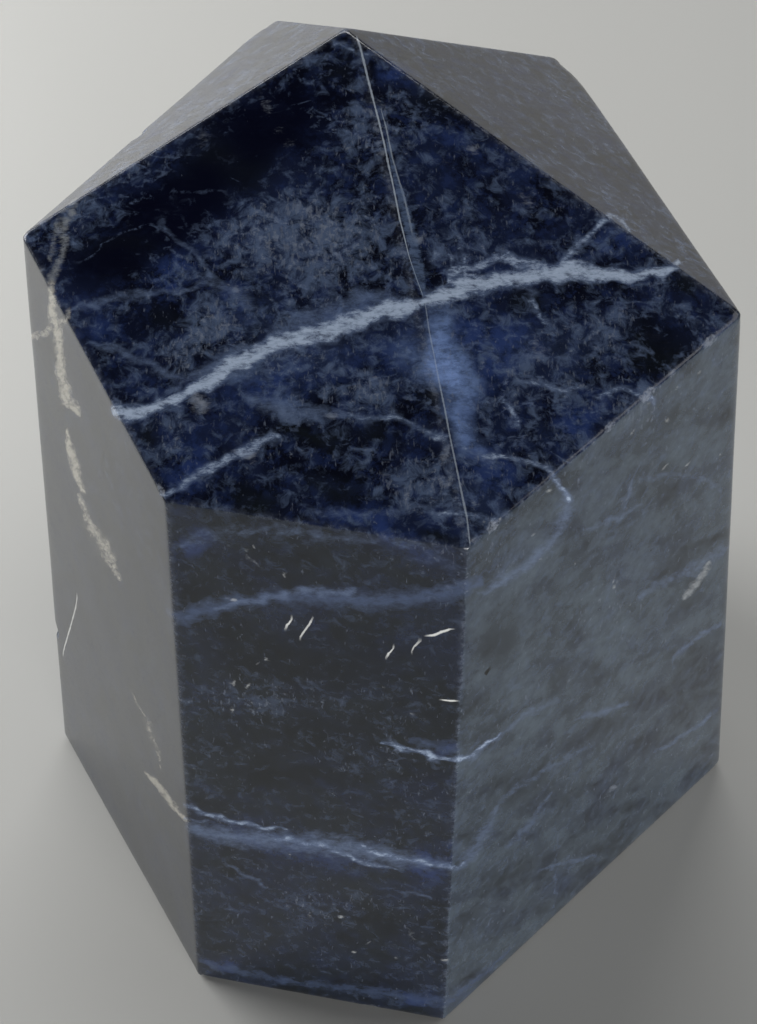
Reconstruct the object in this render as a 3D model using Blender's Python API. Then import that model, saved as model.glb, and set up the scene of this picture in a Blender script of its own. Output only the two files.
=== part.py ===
"""Polished sodalite point: a short, slightly uneven six-sided prism with a low five-faced tip.

The stone is made the way a lapidary makes it: a block is ground flat on one face after
another, then every edge is eased, and the few chips that handling left are dished out.
Lengths in the tables are millimetres and angles are degrees; the mesh is scaled to metres.
+Z is up, the base lies on Z = 0, and -Y is the side of the broad front face.
"""
import math

import bmesh
import bpy
from mathutils import Matrix, Vector

MILLIMETRE = 0.001
BLOCK_SIZE = 160.0
CUT_TOLERANCE = 0.0005

# Prism faces: compass direction of the face, lean towards the middle, distance at the foot
# from the upright line that the stone was ground around.
PRISM_FACES = {
    "left": (208.5, 0.8, 20.55),
    "front": (258.5, -0.6, 22.15),
    "right": (315.5, -0.6, 19.5),
    "back_right": (16.5, 7.0, 23.2),
    "back": (85.0, 0.8, 22.6),
    "back_left": (154.0, 5.6, 21.05),
}

# The broad front face of the tip: direction, slope from level, height over the upright line.
TIP_FRONT = (258.0, 15.8, 57.85)

# The next three faces of the tip: direction, slope, and the corner each one starts from.
TIP_FACES = {
    "tip_right": (306.0, 16.1, ("front", "right", "tip_front")),
    "tip_back_right": (32.0, 34.9, ("right", "back_right", "tip_right")),
    "tip_back_left": (139.0, 39.7, ("left", "back_left", "tip_front")),
}
SUMMIT_SETBACK = 0.4

# Radius of each eased edge and the number of small flats that make it round.
EDGE_WEAR = {
    ("left", "front"): (0.35, 2),
    ("front", "right"): (0.45, 2),
    ("right", "back_right"): (0.9, 3),
    ("back_right", "back"): (5.5, 7),
    ("back", "back_left"): (5.5, 7),
    ("back_left", "left"): (0.6, 2),
    ("left", "tip_front"): (0.2, 1),
    ("front", "tip_front"): (0.25, 1),
    ("right", "tip_right"): (0.3, 1),
    ("back_right", "tip_back_right"): (0.7, 2),
    ("back", "tip_back"): (0.7, 2),
    ("back_left", "tip_back_left"): (0.5, 2),
    ("tip_front", "tip_right"): (0.6, 1),
    ("tip_right", "tip_back_right"): (0.6, 2),
    ("tip_front", "tip_back_right"): (0.3, 1),
    ("tip_front", "tip_back_left"): (0.25, 1),
    ("tip_back_right", "tip_back"): (0.8, 2),
    ("tip_back_left", "tip_back"): (0.8, 2),
}
BASE_WEAR = (0.5, 2)

# Worn corners: the three faces that meet there and how deep the flat is.
WORN_CORNERS = [
    (("left", "front", "base"), 0.55),
    (("left", "back_left", "base"), 0.4),
    (("front", "right", "base"), 0.25),
    (("right", "back_right", "base"), 0.35),
    (("left", "front", "tip_front"), 0.2),
]

# Chips: the edge as two faces, the faces that close it at either end, the place along it
# from 0 to 1, the radius of the dish and its depth below the sharp edge.
CHIPS = [
    (("right", "tip_right"), ("front", "back_right"), 0.88, 0.8, 0.30),
    (("right", "tip_right"), ("front", "back_right"), 0.64, 1.1, 0.34),
    (("right", "tip_right"), ("front", "back_right"), 0.09, 0.7, 0.28),
    (("left", "back_left"), ("base", "tip_front"), 0.27, 1.6, 0.42),
    (("back_left", "tip_back_left"), ("left", "back"), 0.42, 1.2, 0.45),
    (("front", "base"), ("left", "right"), 0.70, 1.3, 0.40),
]
CHIP_DETAIL = 2


def direction(compass, elevation):
    """Unit vector that points to a compass direction, raised by an elevation."""
    turn = math.radians(compass)
    rise = math.radians(elevation)
    return Vector((math.cos(rise) * math.cos(turn), math.cos(rise) * math.sin(turn), math.sin(rise)))


def meeting_point(planes, names):
    """Point where three named planes cross. A plane is its outward normal and its distance."""
    rows = Matrix([planes[name][0] for name in names])
    return rows.inverted() @ Vector([planes[name][1] for name in names])


def plane_at(normal, point):
    return normal, normal.dot(point)


def prism_planes():
    planes = {"base": (Vector((0.0, 0.0, -1.0)), 0.0)}
    for name, (compass, lean, distance) in PRISM_FACES.items():
        normal = direction(compass, lean)
        planes[name] = (normal, distance * math.cos(math.radians(lean)))
    return planes


def tip_planes(planes):
    """Adds the five tip faces, each starting from a corner that is already cut."""
    compass, slope, height = TIP_FRONT
    planes["tip_front"] = plane_at(direction(compass, 90.0 - slope), Vector((0.0, 0.0, height)))
    for name, (compass, slope, corner) in TIP_FACES.items():
        start = meeting_point(planes, corner)
        planes[name] = plane_at(direction(compass, 90.0 - slope), start)

    right_corner = meeting_point(planes, ("back_right", "back", "tip_back_right"))
    left_corner = meeting_point(planes, ("back", "back_left", "tip_back_left"))
    summit = meeting_point(planes, ("tip_front", "tip_back_right", "tip_back_left"))
    ridge = planes["tip_back_right"][0].cross(planes["tip_back_left"][0]).normalized()
    if ridge.y < 0.0:
        ridge.negate()
    top = summit + ridge * SUMMIT_SETBACK
    normal = (left_corner - right_corner).cross(top - right_corner).normalized()
    if normal.z < 0.0:
        normal.negate()
    planes["tip_back"] = plane_at(normal, right_corner)


def grind(bm, normal, distance):
    """Removes what lies beyond a plane and closes the cut with one flat face."""
    parts = list(bm.verts) + list(bm.edges) + list(bm.faces)
    cut = bmesh.ops.bisect_plane(
        bm,
        geom=parts,
        dist=CUT_TOLERANCE,
        plane_co=normal * distance,
        plane_no=normal,
        clear_outer=True,
    )
    rim = [item for item in cut["geom_cut"] if isinstance(item, bmesh.types.BMEdge)]
    if len(rim) > 2:
        bmesh.ops.contextual_create(bm, geom=rim)


def ease_edge(bm, first, second, radius, flats):
    """Rounds the edge between two planes with small flats that touch one cylinder."""
    along = first[0].cross(second[0]).normalized()
    rows = Matrix((first[0], second[0], along))
    axis_point = rows.inverted() @ Vector((first[1] - radius, second[1] - radius, 0.0))
    turn = first[0].angle(second[0])
    for number in range(flats):
        angle = turn * (number + 0.5) / flats
        normal = Matrix.Rotation(angle, 3, along) @ first[0]
        grind(bm, normal, normal.dot(axis_point) + radius)


def wear_corner(bm, planes, names, depth):
    corner = meeting_point(planes, names)
    outward = sum((planes[name][0] for name in names), Vector()).normalized()
    grind(bm, outward, outward.dot(corner) - depth)


def ground_stone(planes):
    bm = bmesh.new()
    bmesh.ops.create_cube(bm, size=BLOCK_SIZE)
    for normal, distance in planes.values():
        grind(bm, normal, distance)
    for (first, second), (radius, flats) in EDGE_WEAR.items():
        ease_edge(bm, planes[first], planes[second], radius, flats)
    for name in PRISM_FACES:
        ease_edge(bm, planes["base"], planes[name], *BASE_WEAR)
    for names, depth in WORN_CORNERS:
        wear_corner(bm, planes, names, depth)
    return bm


def base_centre(bm):
    """Middle of the stone's footprint, which becomes the origin."""
    xs = [vert.co.x for vert in bm.verts]
    ys = [vert.co.y for vert in bm.verts]
    return Vector(((min(xs) + max(xs)) / 2.0, (min(ys) + max(ys)) / 2.0, 0.0))


def chip_dishes(planes):
    """Small balls that bite into the edges, one for each chip."""
    bm = bmesh.new()
    for edge, ends, place, radius, depth in CHIPS:
        start = meeting_point(planes, (*edge, ends[0]))
        finish = meeting_point(planes, (*edge, ends[1]))
        outward = (planes[edge[0]][0] + planes[edge[1]][0]).normalized()
        centre = start.lerp(finish, place) + outward * (radius - depth)
        bmesh.ops.create_icosphere(
            bm, subdivisions=CHIP_DETAIL, radius=radius, matrix=Matrix.Translation(centre)
        )
    return bm


def add_object(name, bm, offset):
    bmesh.ops.translate(bm, verts=bm.verts, vec=-offset)
    bmesh.ops.scale(bm, verts=bm.verts, vec=Vector((1.0, 1.0, 1.0)) * MILLIMETRE)
    bmesh.ops.recalc_face_normals(bm, faces=bm.faces)
    mesh = bpy.data.meshes.new(name)
    bm.to_mesh(mesh)
    bm.free()
    made = bpy.data.objects.new(name, mesh)
    bpy.context.scene.collection.objects.link(made)
    return made


def sodalite():
    """Polished deep blue stone."""
    material = bpy.data.materials.new("polished_sodalite")
    material.use_nodes = True
    shader = material.node_tree.nodes["Principled BSDF"]
    shader.inputs["Base Color"].default_value = (0.016, 0.022, 0.062, 1.0)
    shader.inputs["Roughness"].default_value = 0.16
    shader.inputs["Metallic"].default_value = 0.0
    shader.inputs["IOR"].default_value = 1.48
    return material


def main():
    for old in list(bpy.data.objects):
        bpy.data.objects.remove(old, do_unlink=True)

    planes = prism_planes()
    tip_planes(planes)
    body = ground_stone(planes)
    centre = base_centre(body)

    stone = add_object("sodalite_point", body, centre)
    stone.data.materials.append(sodalite())

    dishes = add_object("chip_dishes", chip_dishes(planes), centre)
    dishes.hide_render = True
    dishes.display_type = "WIRE"

    chips = stone.modifiers.new("chips", "BOOLEAN")
    chips.operation = "DIFFERENCE"
    chips.solver = "EXACT"
    chips.object = dishes


main()
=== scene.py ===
import math

import bpy
import numpy as np
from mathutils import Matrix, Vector, geometry


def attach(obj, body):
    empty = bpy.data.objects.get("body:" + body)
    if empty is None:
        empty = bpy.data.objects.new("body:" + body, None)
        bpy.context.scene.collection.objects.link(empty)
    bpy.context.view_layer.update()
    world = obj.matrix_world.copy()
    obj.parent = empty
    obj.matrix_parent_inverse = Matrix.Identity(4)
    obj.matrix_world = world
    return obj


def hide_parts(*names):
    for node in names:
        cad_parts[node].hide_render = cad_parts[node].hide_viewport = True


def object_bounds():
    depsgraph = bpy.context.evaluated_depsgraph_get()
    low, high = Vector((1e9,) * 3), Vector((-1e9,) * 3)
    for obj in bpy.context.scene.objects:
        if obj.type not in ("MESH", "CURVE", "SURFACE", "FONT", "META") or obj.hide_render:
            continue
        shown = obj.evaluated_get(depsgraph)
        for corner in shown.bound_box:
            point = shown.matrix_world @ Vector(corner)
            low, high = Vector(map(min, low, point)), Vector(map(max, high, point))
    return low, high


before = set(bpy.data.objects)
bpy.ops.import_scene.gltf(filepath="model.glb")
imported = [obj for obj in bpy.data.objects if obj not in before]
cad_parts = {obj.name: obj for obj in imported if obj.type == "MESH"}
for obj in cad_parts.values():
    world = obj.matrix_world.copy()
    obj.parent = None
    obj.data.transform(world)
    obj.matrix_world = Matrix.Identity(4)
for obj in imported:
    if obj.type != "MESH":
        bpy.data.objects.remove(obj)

cadLow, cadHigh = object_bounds()
mm = 0.001
print("frame loaded, box", [round(v / mm, 2) for v in cadHigh - cadLow], "mm")

# The cuts that make the stone, in millimetres and degrees, measured from the upright line the
# stone was ground around. The footprint's middle is where the frame has its origin.
stoneCuts = {
    "footprintMiddle": (0.7407, -0.3064),
    "sides": {                               # compass, lean, distance at the foot
        "left": (208.5, 0.8, 20.55),
        "front": (258.5, -0.6, 22.15),
        "right": (315.5, -0.6, 19.5),
        "backRight": (16.5, 7.0, 23.2),
        "back": (85.0, 0.8, 22.6),
        "backLeft": (154.0, 5.6, 21.05),
    },
    "tipFront": (258.0, 15.8, 57.85),        # compass, slope, height over the upright line
    "tipFacets": {                           # compass, slope, corner it starts from
        "tipRight": (306.0, 16.1, ("front", "right", "tipFront")),
        "tipBackRight": (32.0, 34.9, ("right", "backRight", "tipRight")),
        "tipBackLeft": (139.0, 39.7, ("left", "backLeft", "tipFront")),
    },
    "summitSetback": 0.4,
    "edgeRadius": {                          # how far each edge is worn round
        ("left", "front"): 0.36,
        ("front", "right"): 0.45,
        ("right", "backRight"): 0.9,
        ("backRight", "back"): 1.2,
        ("back", "backLeft"): 1.2,
        ("backLeft", "left"): 0.7,
        ("left", "tipFront"): 0.2,
        ("front", "tipFront"): 0.26,
        ("right", "tipRight"): 0.34,
        ("backRight", "tipBackRight"): 0.75,
        ("back", "tipBack"): 0.7,
        ("backLeft", "tipBackLeft"): 0.5,
        ("tipFront", "tipRight"): 0.45,
        ("tipRight", "tipBackRight"): 0.5,
        ("tipFront", "tipBackRight"): 0.3,
        ("tipFront", "tipBackLeft"): 0.3,
        ("tipBackRight", "tipBack"): 0.8,
        ("tipBackLeft", "tipBack"): 0.8,
        "base": 0.5,
        "other": 0.5,
    },
    "broadCorners": {                        # two back corners: radius, flats that turn it
        ("backRight", "back"): (5.5, 9),
        ("back", "backLeft"): (5.5, 9),
    },
    "waviness": 0.005,                       # hand polishing leaves no face quite flat
    "wavinessReach": 14.0,
    "crown": (2.6, -11.5, 9.0, 0.085),       # the right tip facet swells beside the ridge
    "ridgeRub": (                            # height up the view, depth below the sharp ridge
        (27.6, -0.03), (28.3, 0.03), (29.5, 0.034), (31.5, 0.028),
        (34.0, 0.018), (36.5, 0.008), (39.0, -0.03),
    ),
    "ridgeRubLean": 4,                       # how much more the strip leans to the right facet
    "chips": (                               # edge, its end faces, place along it, radius, depth
        (("right", "tipRight"), ("front", "backRight"), 0.88, 0.75, 0.22),
        (("right", "tipRight"), ("front", "backRight"), 0.64, 0.95, 0.24),
        (("right", "tipRight"), ("front", "backRight"), 0.50, 0.6, 0.16),
        (("right", "tipRight"), ("front", "backRight"), 0.09, 0.7, 0.20),
        (("left", "backLeft"), ("base", "tipFront"), 0.27, 1.6, 0.42),
        (("backLeft", "tipBackLeft"), ("left", "back"), 0.42, 1.2, 0.40),
        (("front", "base"), ("left", "right"), 0.70, 1.3, 0.36),
        (("left", "tipFront"), ("front", "tipBackLeft"), 0.04, 0.6, 0.14),
    ),
    "chipReach": 1.1,                        # in radii, because a chip is uneven
    "chipSwell": (0.07, 6.1, 5.3),           # share of the radius, waves sideways and upward
    "chipRagged": (0.03, 13.0, 9.0),         # a finer one, waves inward and sideways
    "chipShell": (0.008, 34.0),              # depth and closeness of the shell-like ripples
    "chipRim": 0.012,                        # how far the rim of a chip is rounded
    "chipMargin": 0.12,                      # fine points reach this far past a chip,
    "chipInset": 0.04,                       # stop this short of the coarser ones
    "chipClear": 0.035,                      # and this short of the edges
    "wearReach": 0.20,                       # how far the frosted rim reaches from an edge
    "brokenFade": 0.05,                      # how far the broken look fades outside a chip
    "rowDepths": (0.05, 0.11, 0.18, 0.27, 0.40, 0.60, 0.90),
    "fineDepth": 0.27,                       # fine points keep this far from the edges
    "alongStep": 0.5,                        # spacing of points along edges,
    "fieldStep": 0.62,                       # on plain faces,
    "chipStep": 0.11,                        # in chips
    "veinStep": 0.175,                       # and beside veins
    "rowShare": 0.866,                       # rows of points lie closer than points in a row
    "fieldMargin": 0.4,                      # steps that plain points keep from the last row
    "veinMargin": 1.5,                       # steps in which fine points replace plain ones
    "weldStep": 0.002,                       # points closer than this are one
}


# What the stone looks like. Places are millimetres in a turned system: right (x), up the view
# and away from the viewer, the way the stone is held when its tip and three faces are seen.
stoneLook = {
    "viewRise": 50.0,
    "tints": {
        "night": (0.0020, 0.0028, 0.0085),
        "navy": (0.0080, 0.0130, 0.038),
        "royal": (0.021, 0.041, 0.138),
        "sideLightTint": (0.074, 0.098, 0.126),
        "deep": (0.0010, 0.0016, 0.0085),
        "bloom": (0.086, 0.122, 0.208),
        "sootAndShade": (0.0060, 0.0082, 0.0110),
        "sky": (0.21, 0.32, 0.62),
        "speck": (0.14, 0.165, 0.22),
        "cloud": (0.24, 0.27, 0.33),
        "haze": (0.125, 0.172, 0.285),
        "milk": (0.41, 0.50, 0.65),
        "ash": (0.26, 0.28, 0.30),
        "cream": (0.44, 0.42, 0.36),
        "blueBand": (0.060, 0.088, 0.165),
        "frost": (0.50, 0.57, 0.66),
        "glint": (0.70, 0.72, 0.72),
        "spark": (0.90, 0.91, 0.88),
        "rubbed": (0.11, 0.16, 0.27),
        "crackAndPitShade": (0.002, 0.002, 0.002),
    },
    "shine": 1.483,                          # index of refraction of sodalite
    "polish": 0.11,                          # roughness of the clean face
    "roughened": {                           # what each kind of mark adds to the roughness
        "milk": 0.12, "specks": 0.10, "scuffs": 0.07, "rim": 0.35, "broken": 0.35, "cloudy": 0.05,
    },
    "relief": {                              # what makes the fine bumps, and how deep they are
        "grain": 0.6, "broken": 4.0, "cloudy": 0.9, "strength": 0.35, "depth": 0.012,
    },
    "nearDepth": 5.0,                        # small veins have ended this far under seen faces,
    "nearFade": 2.5,                         # after thinning out over this much
    "veinTaper": 0.22,                       # how far a vein runs out past its ends
    "veinBreadth": 1.35,                     # veins fray at their sides, so they start broader
    "veinSides": 0.6,                        # the share of a vein's plateau that is kept
    "veinStray": (0.085, 0.75),              # how far veins stray, and over what distance
    "patchStray": (0.28, 1.6),               # the same for patches
    "patchDepth": (3.0, 2.0),                # how deep patches go: least, and for their width
    "patchEdge": (1.2, 0.9),                 # where a patch ends and how far it fades
    "crispPatches": ("glint", "pitShade"),
    "crispVeins": ("frost", "spark", "crackAndPitShade", "rubbed"),
    "sideLightWashes": {                              # painted light: how much paler each upright face is washed, for the light that falls on it
        "front": 0.12, "right": 1.0, "left": 0.15, "backRight": 0.7, "back": 0.7, "backLeft": 0.6,
    },
    "noises": {                              # scale, detail, roughness, twist, turn, stretch
        "mottle": (0.21, 4, 0.62, 0.6, 0, None),
        "cloudy": (0.95, 4, 0.72, 0, 0, None),
        "grain": (4.6, 3, 0.75, 0, 0, None),
        "fleck": (5.2, 2, 0.6, 0, 16, (1, 0.36, 0.15)),
        "shreds": (2.6, 4, 0.75, 0.3, -17, (0.55, 1.25, 0.3)),
        "spatter": (2.3, 3, 0.7, 0, 0, None),
        "puff": (1.15, 4, 0.68, 0.5, 0, None),
        "wisp": (0.33, 3, 0.55, 0.5, -26, (0.7, 1.3, 0.5)),
        "wander": (0.12, 2, 0.5, 0, 0, None),
        "scuffs": (2.2, 3, 0.7, 0, -24, (0.22, 2.4, 1)),
    },
    "covers": {                              # where a mask starts, where it is full, its share
        "navy": (0.38, 0.62, 1), "royalMottle": (0.46, 0.66, 0.35), "royal": (0.32, 0.58, 1),
        "uprightShadeMottle": (0.60, 0.36, 0.35), "sideLightWisp": (0.22, 0.78, 0.70),
        "sideLightCloudy": (0.25, 0.75, 0.42), "fleckDrift": (0.42, 0.62, 0.03),
        "bloom": (0.47, 0.76, 1), "skyShreds": (0.34, 0.62, 0.4), "skyCloudy": (0.35, 0.62, 0.3),
        "specks": (0.625, 0.77, 0.5), "blots": (0.635, 0.79, 0.42),
        "threadLine": (0.030, 0.004, 1), "threadSpatter": (0.42, 0.62, 1),
        "threadDrift": (0.42, 0.56, 1), "insideVein": (0.02, 0.3, 1), "halo": (0, 0.55, 1),
        "haloShreds": (0.3, 0.6, 0.6), "glint": (0.2, 0.8, 0.5), "glintShreds": (0.40, 0.58, 1),
        "rubbedShreds": (0.38, 0.60, 0.65), "pitShade": (0.2, 0.6, 1), "rimSpatter": (0.40, 0.66, 0.6),
        "brokenGrain": (0.3, 0.6, 0.75), "scuffs": (0.5, 0.7, 1), "dullCloudy": (0.45, 0.7, 1),
    },
    "frays": {                               # how ragged a mask gets, where it starts, is full
        "cloud": (1.8, 0.25, 1.15), "blueBand": (1.3, 0.05, 1.1), "haze": (1.3, 0.05, 1.25),
        "ash": (1.6, 0.15, 0.95), "cream": (1.3, 0.1, 0.7), "milk": (2.4, 0.30, 1.15),
    },
    "shares": {                              # plain shares that layers are mixed by
        "uprightShade": 0.5, "sootAndShade": 0.9, "deep": 0.95, "cloud": 0.8, "skyLeast": 0.3,
        "bloom": 0.85, "uprightBloom": -0.5, "thread": 0.40, "uprightThread": -0.32,
        "haloLeast": 0.25, "rubbedLeast": 0.25, "rimLeast": 0.12, "rim": 0.5,
    },
    # where grains lie closer or wider apart, how far each kind of grain follows that, and how
    # ragged and soft a thin line is, less its plateau
    "density": {"fleck": 0.10, "deep": -0.12, "sootAndShade": -0.07, "upright": -0.025},
    "densityReach": {"bloom": 1.1, "specks": 1.0, "blots": 0.9},
    "thinLine": {"ragged": 1.5, "soft": 0.9, "plateau": -0.6},
    # name: tint, reach, strength, plateau, run, then along, across and half width at each bend
    "veins": {
        "mainVein": ("milk", "through", 0.95, 0.45, "across", ((-15.07, 22.05, 0.33),
            (-13.8, 22.01, 0.46), (-13, 22.17, 0.33), (-12.22, 22.5, 0.23), (-11.43, 22.87, 0.26),
            (-10.65, 23.36, 0.33), (-9.86, 23.74, 0.46), (-9.23, 24.17, 0.53),
            (-8.55, 24.66, 0.46), (-7.76, 25.05, 0.46), (-7.12, 25.43, 0.46), (-6.43, 25.76, 0.53),
            (-5.63, 25.98, 0.53), (-4.83, 26.14, 0.53), (-4.02, 26.36, 0.59), (-3.22, 26.52, 0.59),
            (-2.42, 26.9, 0.53), (-1.62, 27.23, 0.53), (-0.81, 27.51, 0.53), (0, 27.67, 0.53),
            (0.69, 27.78, 0.53), (1.23, 27.89, 0.33), (1.88, 28.18, 0.33), (2.7, 28.54, 0.53),
            (3.52, 28.83, 0.59), (4.34, 29.08, 0.53), (5.17, 29.26, 0.46), (5.99, 29.33, 0.46),
            (6.82, 29.52, 0.46), (7.93, 29.71, 0.46), (9.05, 29.91, 0.59), (9.89, 29.98, 0.59),
            (10.72, 29.88, 0.53), (11.55, 29.78, 0.4), (12.39, 29.74, 0.36), (13.23, 29.76, 0.33),
            (14.08, 29.89, 0.3), (14.76, 30.02, 0.26), (15.35, 30.26, 0.23),
            (15.79, 30.69, 0.17))),
        "mainVeil": ("haze", "through", 0.55, 0.15, "across", ((-7.5, 25.54, 0.12),
            (-6.71, 26.2, 0.4), (-5.91, 26.64, 0.58), (-5.11, 26.97, 0.69), (-4.04, 27.41, 0.69),
            (-2.96, 27.91, 0.75), (-2.16, 28.24, 0.69), (-1.35, 28.41, 0.63), (-0.54, 28.29, 0.52),
            (0.27, 28.06, 0.35), (0.91, 27.89, 0.17))),
        "mainCrest": ("milk", "near", 0.62, 0.3, "across", ((2.59, 28.65, 0.12),
            (3.1, 29.62, 0.23), (3.65, 29.98, 0.29), (4.36, 30.11, 0.23), (5.03, 30.29, 0.26),
            (5.59, 30.65, 0.29), (6.14, 30.77, 0.35), (6.74, 30.44, 0.35), (7.51, 30.28, 0.29),
            (8.39, 30.13, 0.23), (8.84, 30.14, 0.12))),
        "loopVein": ("milk", "near", 0.62, 0.3, "across", ((9.18, 30.37, 0.12), (9.53, 30.9, 0.17),
            (10, 31.44, 0.17), (10.53, 31.92, 0.17), (11.05, 32.34, 0.23), (11.41, 32.76, 0.23),
            (11.77, 33.07, 0.29), (12.29, 33.27, 0.23), (12.77, 33.14, 0.17),
            (13.01, 32.48, 0.12))),
        "lowerVein": ("milk", "through", 0.6, 0.3, "across", ((-12.3, 17.76, 0.12),
            (-11.51, 17.86, 0.17), (-10.84, 18.23, 0.29), (-10.23, 18.81, 0.29),
            (-9.45, 19.23, 0.29), (-8.67, 19.6, 0.29), (-8.26, 19.81, 0.29), (-7.84, 20.02, 0.4),
            (-7.43, 20.18, 0.35), (-7.01, 20.39, 0.23), (-6.59, 20.66, 0.17),
            (-6.07, 20.87, 0.09))),
        "lowerVeil": ("haze", "near", 0.65, 0.1, "across", ((-8.24, 23.03, 0.14),
            (-7.27, 22.59, 0.48), (-6.36, 22.21, 0.69), (-5.56, 22.05, 0.69), (-4.77, 21.99, 0.62),
            (-3.98, 22.04, 0.48), (-3.18, 22.04, 0.35), (-2.66, 21.82, 0.28))),
        "middleVein": ("milk", "near", 0.42, 0.3, "across", ((-2.92, 21.99, 0.12),
            (-2.29, 21.77, 0.17), (-1.34, 21.71, 0.17), (-0.29, 21.71, 0.17), (0.34, 21.66, 0.17),
            (0.82, 21.39, 0.2), (1.29, 21.17, 0.2), (1.7, 20.91, 0.17), (2.17, 20.75, 0.17),
            (2.8, 20.69, 0.17))),
        "upperLeftVein": ("haze", "through", 0.55, 0.2, "across", ((-17.7, 27.54, 0.14),
            (-16.8, 27.93, 0.35), (-15.99, 28.15, 0.41), (-15.18, 28.37, 0.35),
            (-14.37, 28.48, 0.35), (-13.56, 28.7, 0.35), (-12.74, 28.64, 0.21),
            (-11.93, 28.75, 0.21), (-11.11, 28.86, 0.21), (-10.3, 29.08, 0.24),
            (-9.71, 29.25, 0.14))),
        "fanVein": ("haze", "near", 0.55, 0.2, "up", ((27.71, -7.82, 0.28), (28.17, -8.32, 0.55),
            (28.68, -8.82, 0.62), (29.07, -9.38, 0.48), (29.53, -9.88, 0.28), (30.1, -10.28, 0.24),
            (30.62, -10.74, 0.21), (31.2, -11.31, 0.21), (31.67, -11.87, 0.21),
            (32.07, -12.44, 0.21), (32.72, -12.74, 0.1))),
        "cornerBand": ("ash", "near", 0.55, 0.3, "up", ((28.74, -18.65, 0.17), (29.7, -18.6, 0.35),
            (30.44, -18.37, 0.35), (31.13, -18.25, 0.29), (32, -18.13, 0.29),
            (32.76, -18.12, 0.35), (33.46, -17.89, 0.4), (34.23, -17.66, 0.29))),
        "cornerThread": ("ash", "near", 0.4, 0.3, "up", ((30.45, -19.03, 0.12),
            (31.14, -18.8, 0.17), (31.95, -18.63, 0.23), (32.59, -18.56, 0.17),
            (33.35, -18.55, 0.09))),
        "leftThread": ("haze", "near", 0.59, 0.2, "across", ((-16.41, 25.8, 0.15),
            (-15.59, 25.69, 0.3), (-14.87, 25.46, 0.3), (-14.21, 25.07, 0.3), (-13.55, 24.85, 0.3),
            (-13, 24.57, 0.3), (-12.45, 24.3, 0.3), (-11.85, 24.02, 0.22), (-11.15, 23.85, 0.22),
            (-10.29, 23.8, 0.15))),
        "shoulderBand": ("haze", "near", 0.63, 0.1, "across", ((-12.08, 23.15, 0.14),
            (-11.35, 23.64, 0.28), (-10.62, 24.12, 0.41), (-9.88, 24.51, 0.48),
            (-9.14, 24.89, 0.48), (-8.41, 25.32, 0.35), (-7.77, 25.6, 0.14))),
        "apexThread": ("milk", "near", 0.42, 0.2, "across", ((-3.3, 43.33, 0.09),
            (-2.73, 43.07, 0.17), (-2.16, 42.82, 0.2), (-1.6, 42.76, 0.2), (-1.03, 42.79, 0.23),
            (-0.58, 42.76, 0.12))),
        "apexVeil": ("haze", "near", 0.4, 0.2, "across", ((-6.18, 41.88, 0.12),
            (-5.45, 42.24, 0.2), (-4.66, 42.48, 0.23), (-3.92, 42.59, 0.29),
            (-3.18, 42.71, 0.17))),
        "midThread": ("haze", "near", 0.3, 0.2, "across", ((-2.45, 32.52, 0.06),
            (-1.47, 32.68, 0.14), (-0.54, 32.85, 0.14), (0.29, 33.03, 0.06))),
        "midThreadLow": ("haze", "near", 0.25, 0.2, "across", ((-9.28, 31.53, 0.12),
            (-7.92, 31.75, 0.23), (-6.27, 31.62, 0.23), (-4.63, 31.44, 0.17), (-2.72, 31.6, 0.17),
            (-1.35, 31.42, 0.12))),
        "curlVein": ("milk", "near", 0.55, 0.3, "up", ((21.25, 6.63, 0.06), (21.52, 6.48, 0.14),
            (21.89, 6.22, 0.17), (22.38, 5.97, 0.14), (22.81, 5.76, 0.09))),
        "tickVein": ("milk", "near", 0.55, 0.3, "up", ((27.04, 7.95, 0.09), (27.55, 7.8, 0.14),
            (28.05, 7.66, 0.12), (28.51, 7.51, 0.06))),
        "rightThread": ("milk", "near", 0.4, 0.2, "across", ((6.54, 23.86, 0.09),
            (7.19, 23.64, 0.14), (7.88, 23.43, 0.17), (8.42, 23.38, 0.23), (8.96, 23.33, 0.17),
            (9.77, 23.34, 0.12))),
        "farThread": ("milk", "near", 0.5, 0.3, "across", ((10.95, 23.02, 0.12),
            (11.62, 23.25, 0.17), (12.33, 23.31, 0.17), (13.03, 23.21, 0.2), (13.59, 22.89, 0.2),
            (14.1, 22.62, 0.12))),
        "footVein": ("milk", "near", 0.5, 0.3, "across", ((3.68, 19.95, 0.12), (4.42, 19.8, 0.14),
            (5.2, 19.64, 0.17), (5.99, 19.54, 0.14), (6.79, 19.49, 0.14), (7.47, 19.28, 0.17),
            (8.04, 18.97, 0.2), (8.49, 18.5, 0.2), (8.91, 17.99, 0.17), (9.28, 17.3, 0.12))),
        "cornerVein": ("milk", "near", 0.45, 0.25, "across", ((1.51, 16.77, 0.12),
            (2.28, 16.71, 0.17), (3.05, 16.66, 0.17), (3.83, 16.61, 0.14), (4.61, 16.51, 0.17),
            (5.39, 16.4, 0.09))),
        "rimVein": ("haze", "near", 0.5, 0.15, "across", ((-4.96, 17.08, 0.12),
            (-4.02, 16.82, 0.29), (-2.88, 16.66, 0.29), (-1.85, 16.71, 0.23), (-0.81, 16.66, 0.23),
            (0.22, 16.82, 0.23), (1.25, 16.97, 0.23), (2.29, 17.13, 0.17), (2.91, 17.28, 0.09))),
        "ridgeLine": ("frost", "near", 0.68, 0.5, "up", ((28.4, 1.51, 0.03), (29.3, 1.19, 0.03),
            (30.66, 0.76, 0.03), (32.04, 0.45, 0.05), (32.73, 0.28, 0.06), (33.9, 0.07, 0.06),
            (35.07, -0.15, 0.06), (35.96, -0.34, 0.07), (37.15, -0.56, 0.07), (38.65, -0.89, 0.07),
            (40.17, -1.26, 0.07), (41.39, -1.54, 0.08), (43.19, -1.94, 0.08),
            (43.79, -2.14, 0.07))),
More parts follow.
